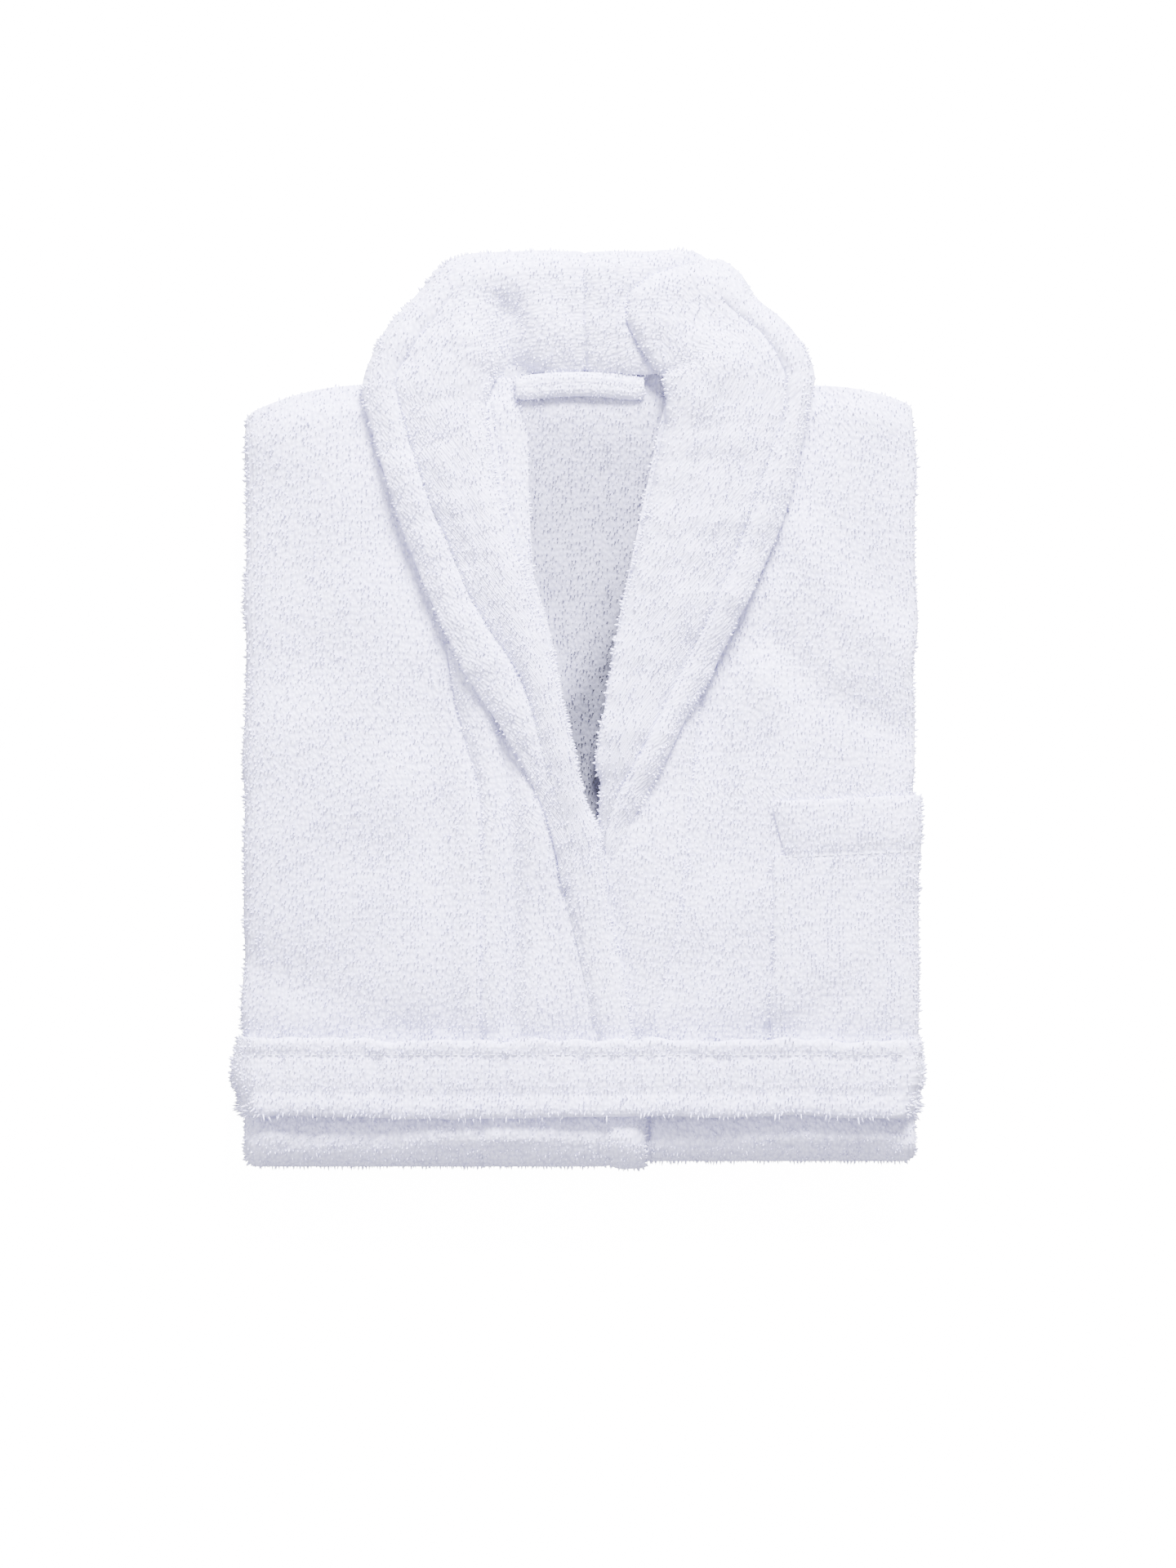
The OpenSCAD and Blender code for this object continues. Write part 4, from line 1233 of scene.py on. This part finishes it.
class MakeBelt(PieceOperator):
    """The belt, wound round the folded robe"""
    bl_idname = "bathrobe.belt"
    bl_label = "Belt"

    def build(self):
        b = bpy.context.scene.bathrobe_belt
        lo, hi = corner("belt", 0) * MM, corner("belt", 1) * MM
        host = show("belt_host", bare_mesh("belt_host", [(0, 0, 0), (1, 0, 0), (0, 1, 0)], [(0, 1, 2)]),
                    finishes()["terry_belt"])
        deep = b.turns * b.thickness / 2
        belt = grown("belt_cloth", host, belt_tree(),
                     {"Half Width": hi[0] - deep, "Low": lo[2] + deep, "High": hi[2] - deep,
                      "Corner Radius": b.corner, "Belt Width": hi[1] - lo[1] - 0.001,
                      "Thickness": b.thickness, "Turns": b.turns}, finishes()["terry_belt"])
        bpy.data.objects.remove(host)
        self.shape(belt, (lo + hi) / 2)
        co = np.array([v.co for v in belt.data.vertices]) / MM
        tops = co[(np.abs(co[:, 1] - BELT_STITCH_Y) < 1.6) & (co[:, 2] > 40)]
        x = np.arange(-198, 198, 2.0)
        z = [tops[np.abs(tops[:, 0] - at) < 4, 2].max() + 0.25 for at in x]
        put_on("belt", belt, "belt", "belt", seed=41,
               stitches=[np.column_stack([x, np.full_like(x, BELT_STITCH_Y), z])])

    def shape(self, belt, middle):
        """Moves the swept belt to its place, rolls its edges and marks where its loops stand."""
        mesh = belt.data
        co = np.array([v.co for v in mesh.vertices])
        co[:, 1] += middle[1]
        co[:, 2] += middle[2]
        co[:, 2] += 1.4 * MM * smooth(11, -1.3, co[:, 2] / MM)  # the pressed bottom
        mesh.vertices.foreach_set("co", co.astype(np.float32).ravel())
        mesh.update()
        normal = np.array([v.normal for v in mesh.vertices])
        x, y, z = (co / MM).T
        high = z - middle[2] / MM
        outer = (normal[:, 0] * np.sign(x) * (np.abs(x) > 190) + normal[:, 2] * np.sign(high)) > 0.25
        ring = np.maximum(np.abs(x) / 212.5, np.abs(high) / 26.0)
        outer &= ring > 0.93
        groove = 0.6 * bell(y - BELT_STITCH_Y + 0.8 * drift(x, 0 * x, 96, 60), 2.2)
        roll = (1.6 * bell(y - BELT_LOW - 6, 5.5) + 0.8 * bell(y - BELT_HIGH + 4, 4)
                - 0.5 * bell(y + 234, 2.5))
        crease = 0.3 * drift(x, z * 2, 91, 16) + 0.4 * drift(x, y * 0.3, 92, 40)
        across = smooth(-240, -228, y) * smooth(-209, -213, y)
        for k, (shift, bend, deep) in enumerate(np.random.default_rng(95).uniform(-1, 1, (34, 3))):
            at = -206 + 12.5 * k + 4 * shift + bend * 0.06 * (y - BELT_LOW)
            crease = crease - (2.1 + 1.0 * deep) * bell(x - at, 1.7) * across
        move = (roll - groove + crease + 1.8 * bell(y + 225, 15)) * outer * (z > 9)
        wave = 1.1 * drift(x, z, 93, 120) + 0.5 * drift(x, z, 94, 45)
        wave = wave + 1.1 * drift(x, z, 97, 28) * bell(y - BELT_HIGH, 6)
        co = co + normal * (move * MM)[:, None]
        co[:, 1] += wave * MM
        rounded = 6 * smooth(-224, -248, y) + 4 * smooth(-214, -200, y)
        co[:, 0] -= np.sign(x) * smooth(196, 208, np.abs(x)) * rounded * MM
        mesh.vertices.foreach_set("co", co.astype(np.float32).ravel())
        edge = (np.abs(normal[:, 1]) > 0.5) & (ring > 0.93)
        pile = np.where(outer | edge, 1.0, 0.0) * np.where(z < 12, 0.35, 1.0) * (z > 2.5)
        nap = np.where(z < 8, 0.3, 1.0 + 1.2 * smooth(-234, -246, y) + 0.5 * smooth(-206, -201, y)
                       - 0.4 * bell(y - BELT_STITCH_Y, 1.6))
        mark(mesh, pile, nap, np.stack([x + z, y], axis=1) * MM)


class MakeBeltLoops(PieceOperator):
    """Two belt loops on the side seams"""
    bl_idname = "bathrobe.belt_loops"
    bl_label = "Belt Loops"

    def build(self):
        for name in ("right_belt_loop", "left_belt_loop"):
            lo, hi = corner(name, 0), corner(name, 1)
            x = np.linspace(lo[0] + 1.4, hi[0] - 1.4, 5)
            y = np.linspace(hi[1] - 1.4, lo[1] + 1.4, 24)
            bow = 0.3 * np.sin(math.pi * (y - lo[1]) / (hi[1] - lo[1]))
            mid = grid_of(x[:, None], y, (lo[2] + hi[2]) / 2 + bow)
            put_on(name, [slab(mid, 1.1, pile=0.5, nap=0.6, side=-1)], "trim", "robe", seed=45)


class MakeSleeves(PieceOperator):
    """Both sleeves and their turned cuffs, pressed flat under the front"""
    bl_idname = "bathrobe.sleeves"
    bl_label = "Sleeves"

    def build(self):
        bend, run = np.linspace(0, math.pi, 7)[1:], np.linspace(0, 1, 14)
        for name, part in (("right_sleeve", "body"), ("left_sleeve", "body"),
                           ("right_cuff", "trim"), ("left_cuff", "trim")):
            lo, hi = corner(name, 0), corner(name, 1)
            radius = (hi[2] - lo[2]) / 2 - HALF
            middle = (hi[2] + lo[2]) / 2
            low_x, high_x = lo[0] + radius + HALF, hi[0] - radius - HALF
            centre = (low_x + high_x) / 2
            x = np.concatenate([lerp(centre, high_x, run), high_x + radius * np.sin(bend),
                                lerp(high_x, low_x, run[1:]), low_x - radius * np.sin(bend),
                                lerp(low_x, centre - 0.2, run[1:])])
            z = np.concatenate([np.full(14, middle + radius), middle + radius * np.cos(bend),
                                np.full(13, middle - radius), middle - radius * np.cos(bend),
                                np.full(13, middle + radius)])
            mid = grid_of(x[:, None], np.linspace(hi[1] - HALF, lo[1] + HALF, 40), z[:, None])
            mid[..., 1] += 1.2 * drift(mid[..., 0], mid[..., 0] * 0, 71, 60) * (mid[..., 2] > 0)
            shown = ((np.abs(mid[..., 0] - centre) > (hi[0] - lo[0]) / 2 - 8)
                     | (mid[..., 1] > hi[1] - 14) | (mid[..., 1] < lo[1] + 14))
            put_on(name, [slab(mid, HALF, pile=np.where(shown, 0.6, 0.0), nap=0.7, side=-1)], part,
                   "robe", seed=51, spacing=1.3)


OPERATORS = (MakeStudio, MakeFronts, MakeBands, MakeBack, MakeCollar, MakeLoop, MakePocket, MakeBelt,
             MakeBeltLoops, MakeSleeves)


class BathrobePanel(bpy.types.Panel):
    """Lists the pieces and their sizes."""
    bl_idname = "VIEW3D_PT_bathrobe"
    bl_label = "Folded Bathrobe"
    bl_space_type = "VIEW_3D"
    bl_region_type = "UI"
    bl_category = "Bathrobe"

    def draw(self, context):
        for key, group in SETTINGS.items():
            box = self.layout.box()
            box.label(text=key.title())
            for name in group.__annotations__:
                box.prop(getattr(context.scene, f"bathrobe_{key}"), name)
        for operator in OPERATORS:
            self.layout.operator(operator.bl_idname)


def register():
    for key, group in SETTINGS.items():
        bpy.utils.register_class(group)
        setattr(bpy.types.Scene, f"bathrobe_{key}", bpy.props.PointerProperty(type=group))
    for operator in OPERATORS:
        bpy.utils.register_class(operator)
    bpy.utils.register_class(BathrobePanel)


def unregister():
    bpy.utils.unregister_class(BathrobePanel)
    for operator in reversed(OPERATORS):
        bpy.utils.unregister_class(operator)
    for key, group in SETTINGS.items():
        delattr(bpy.types.Scene, f"bathrobe_{key}")
        bpy.utils.unregister_class(group)


def main():
    register()
    for operator in OPERATORS:
        family, piece = operator.bl_idname.split(".")
        getattr(getattr(bpy.ops, family), piece)()


if __name__ == "__main__":
    main()
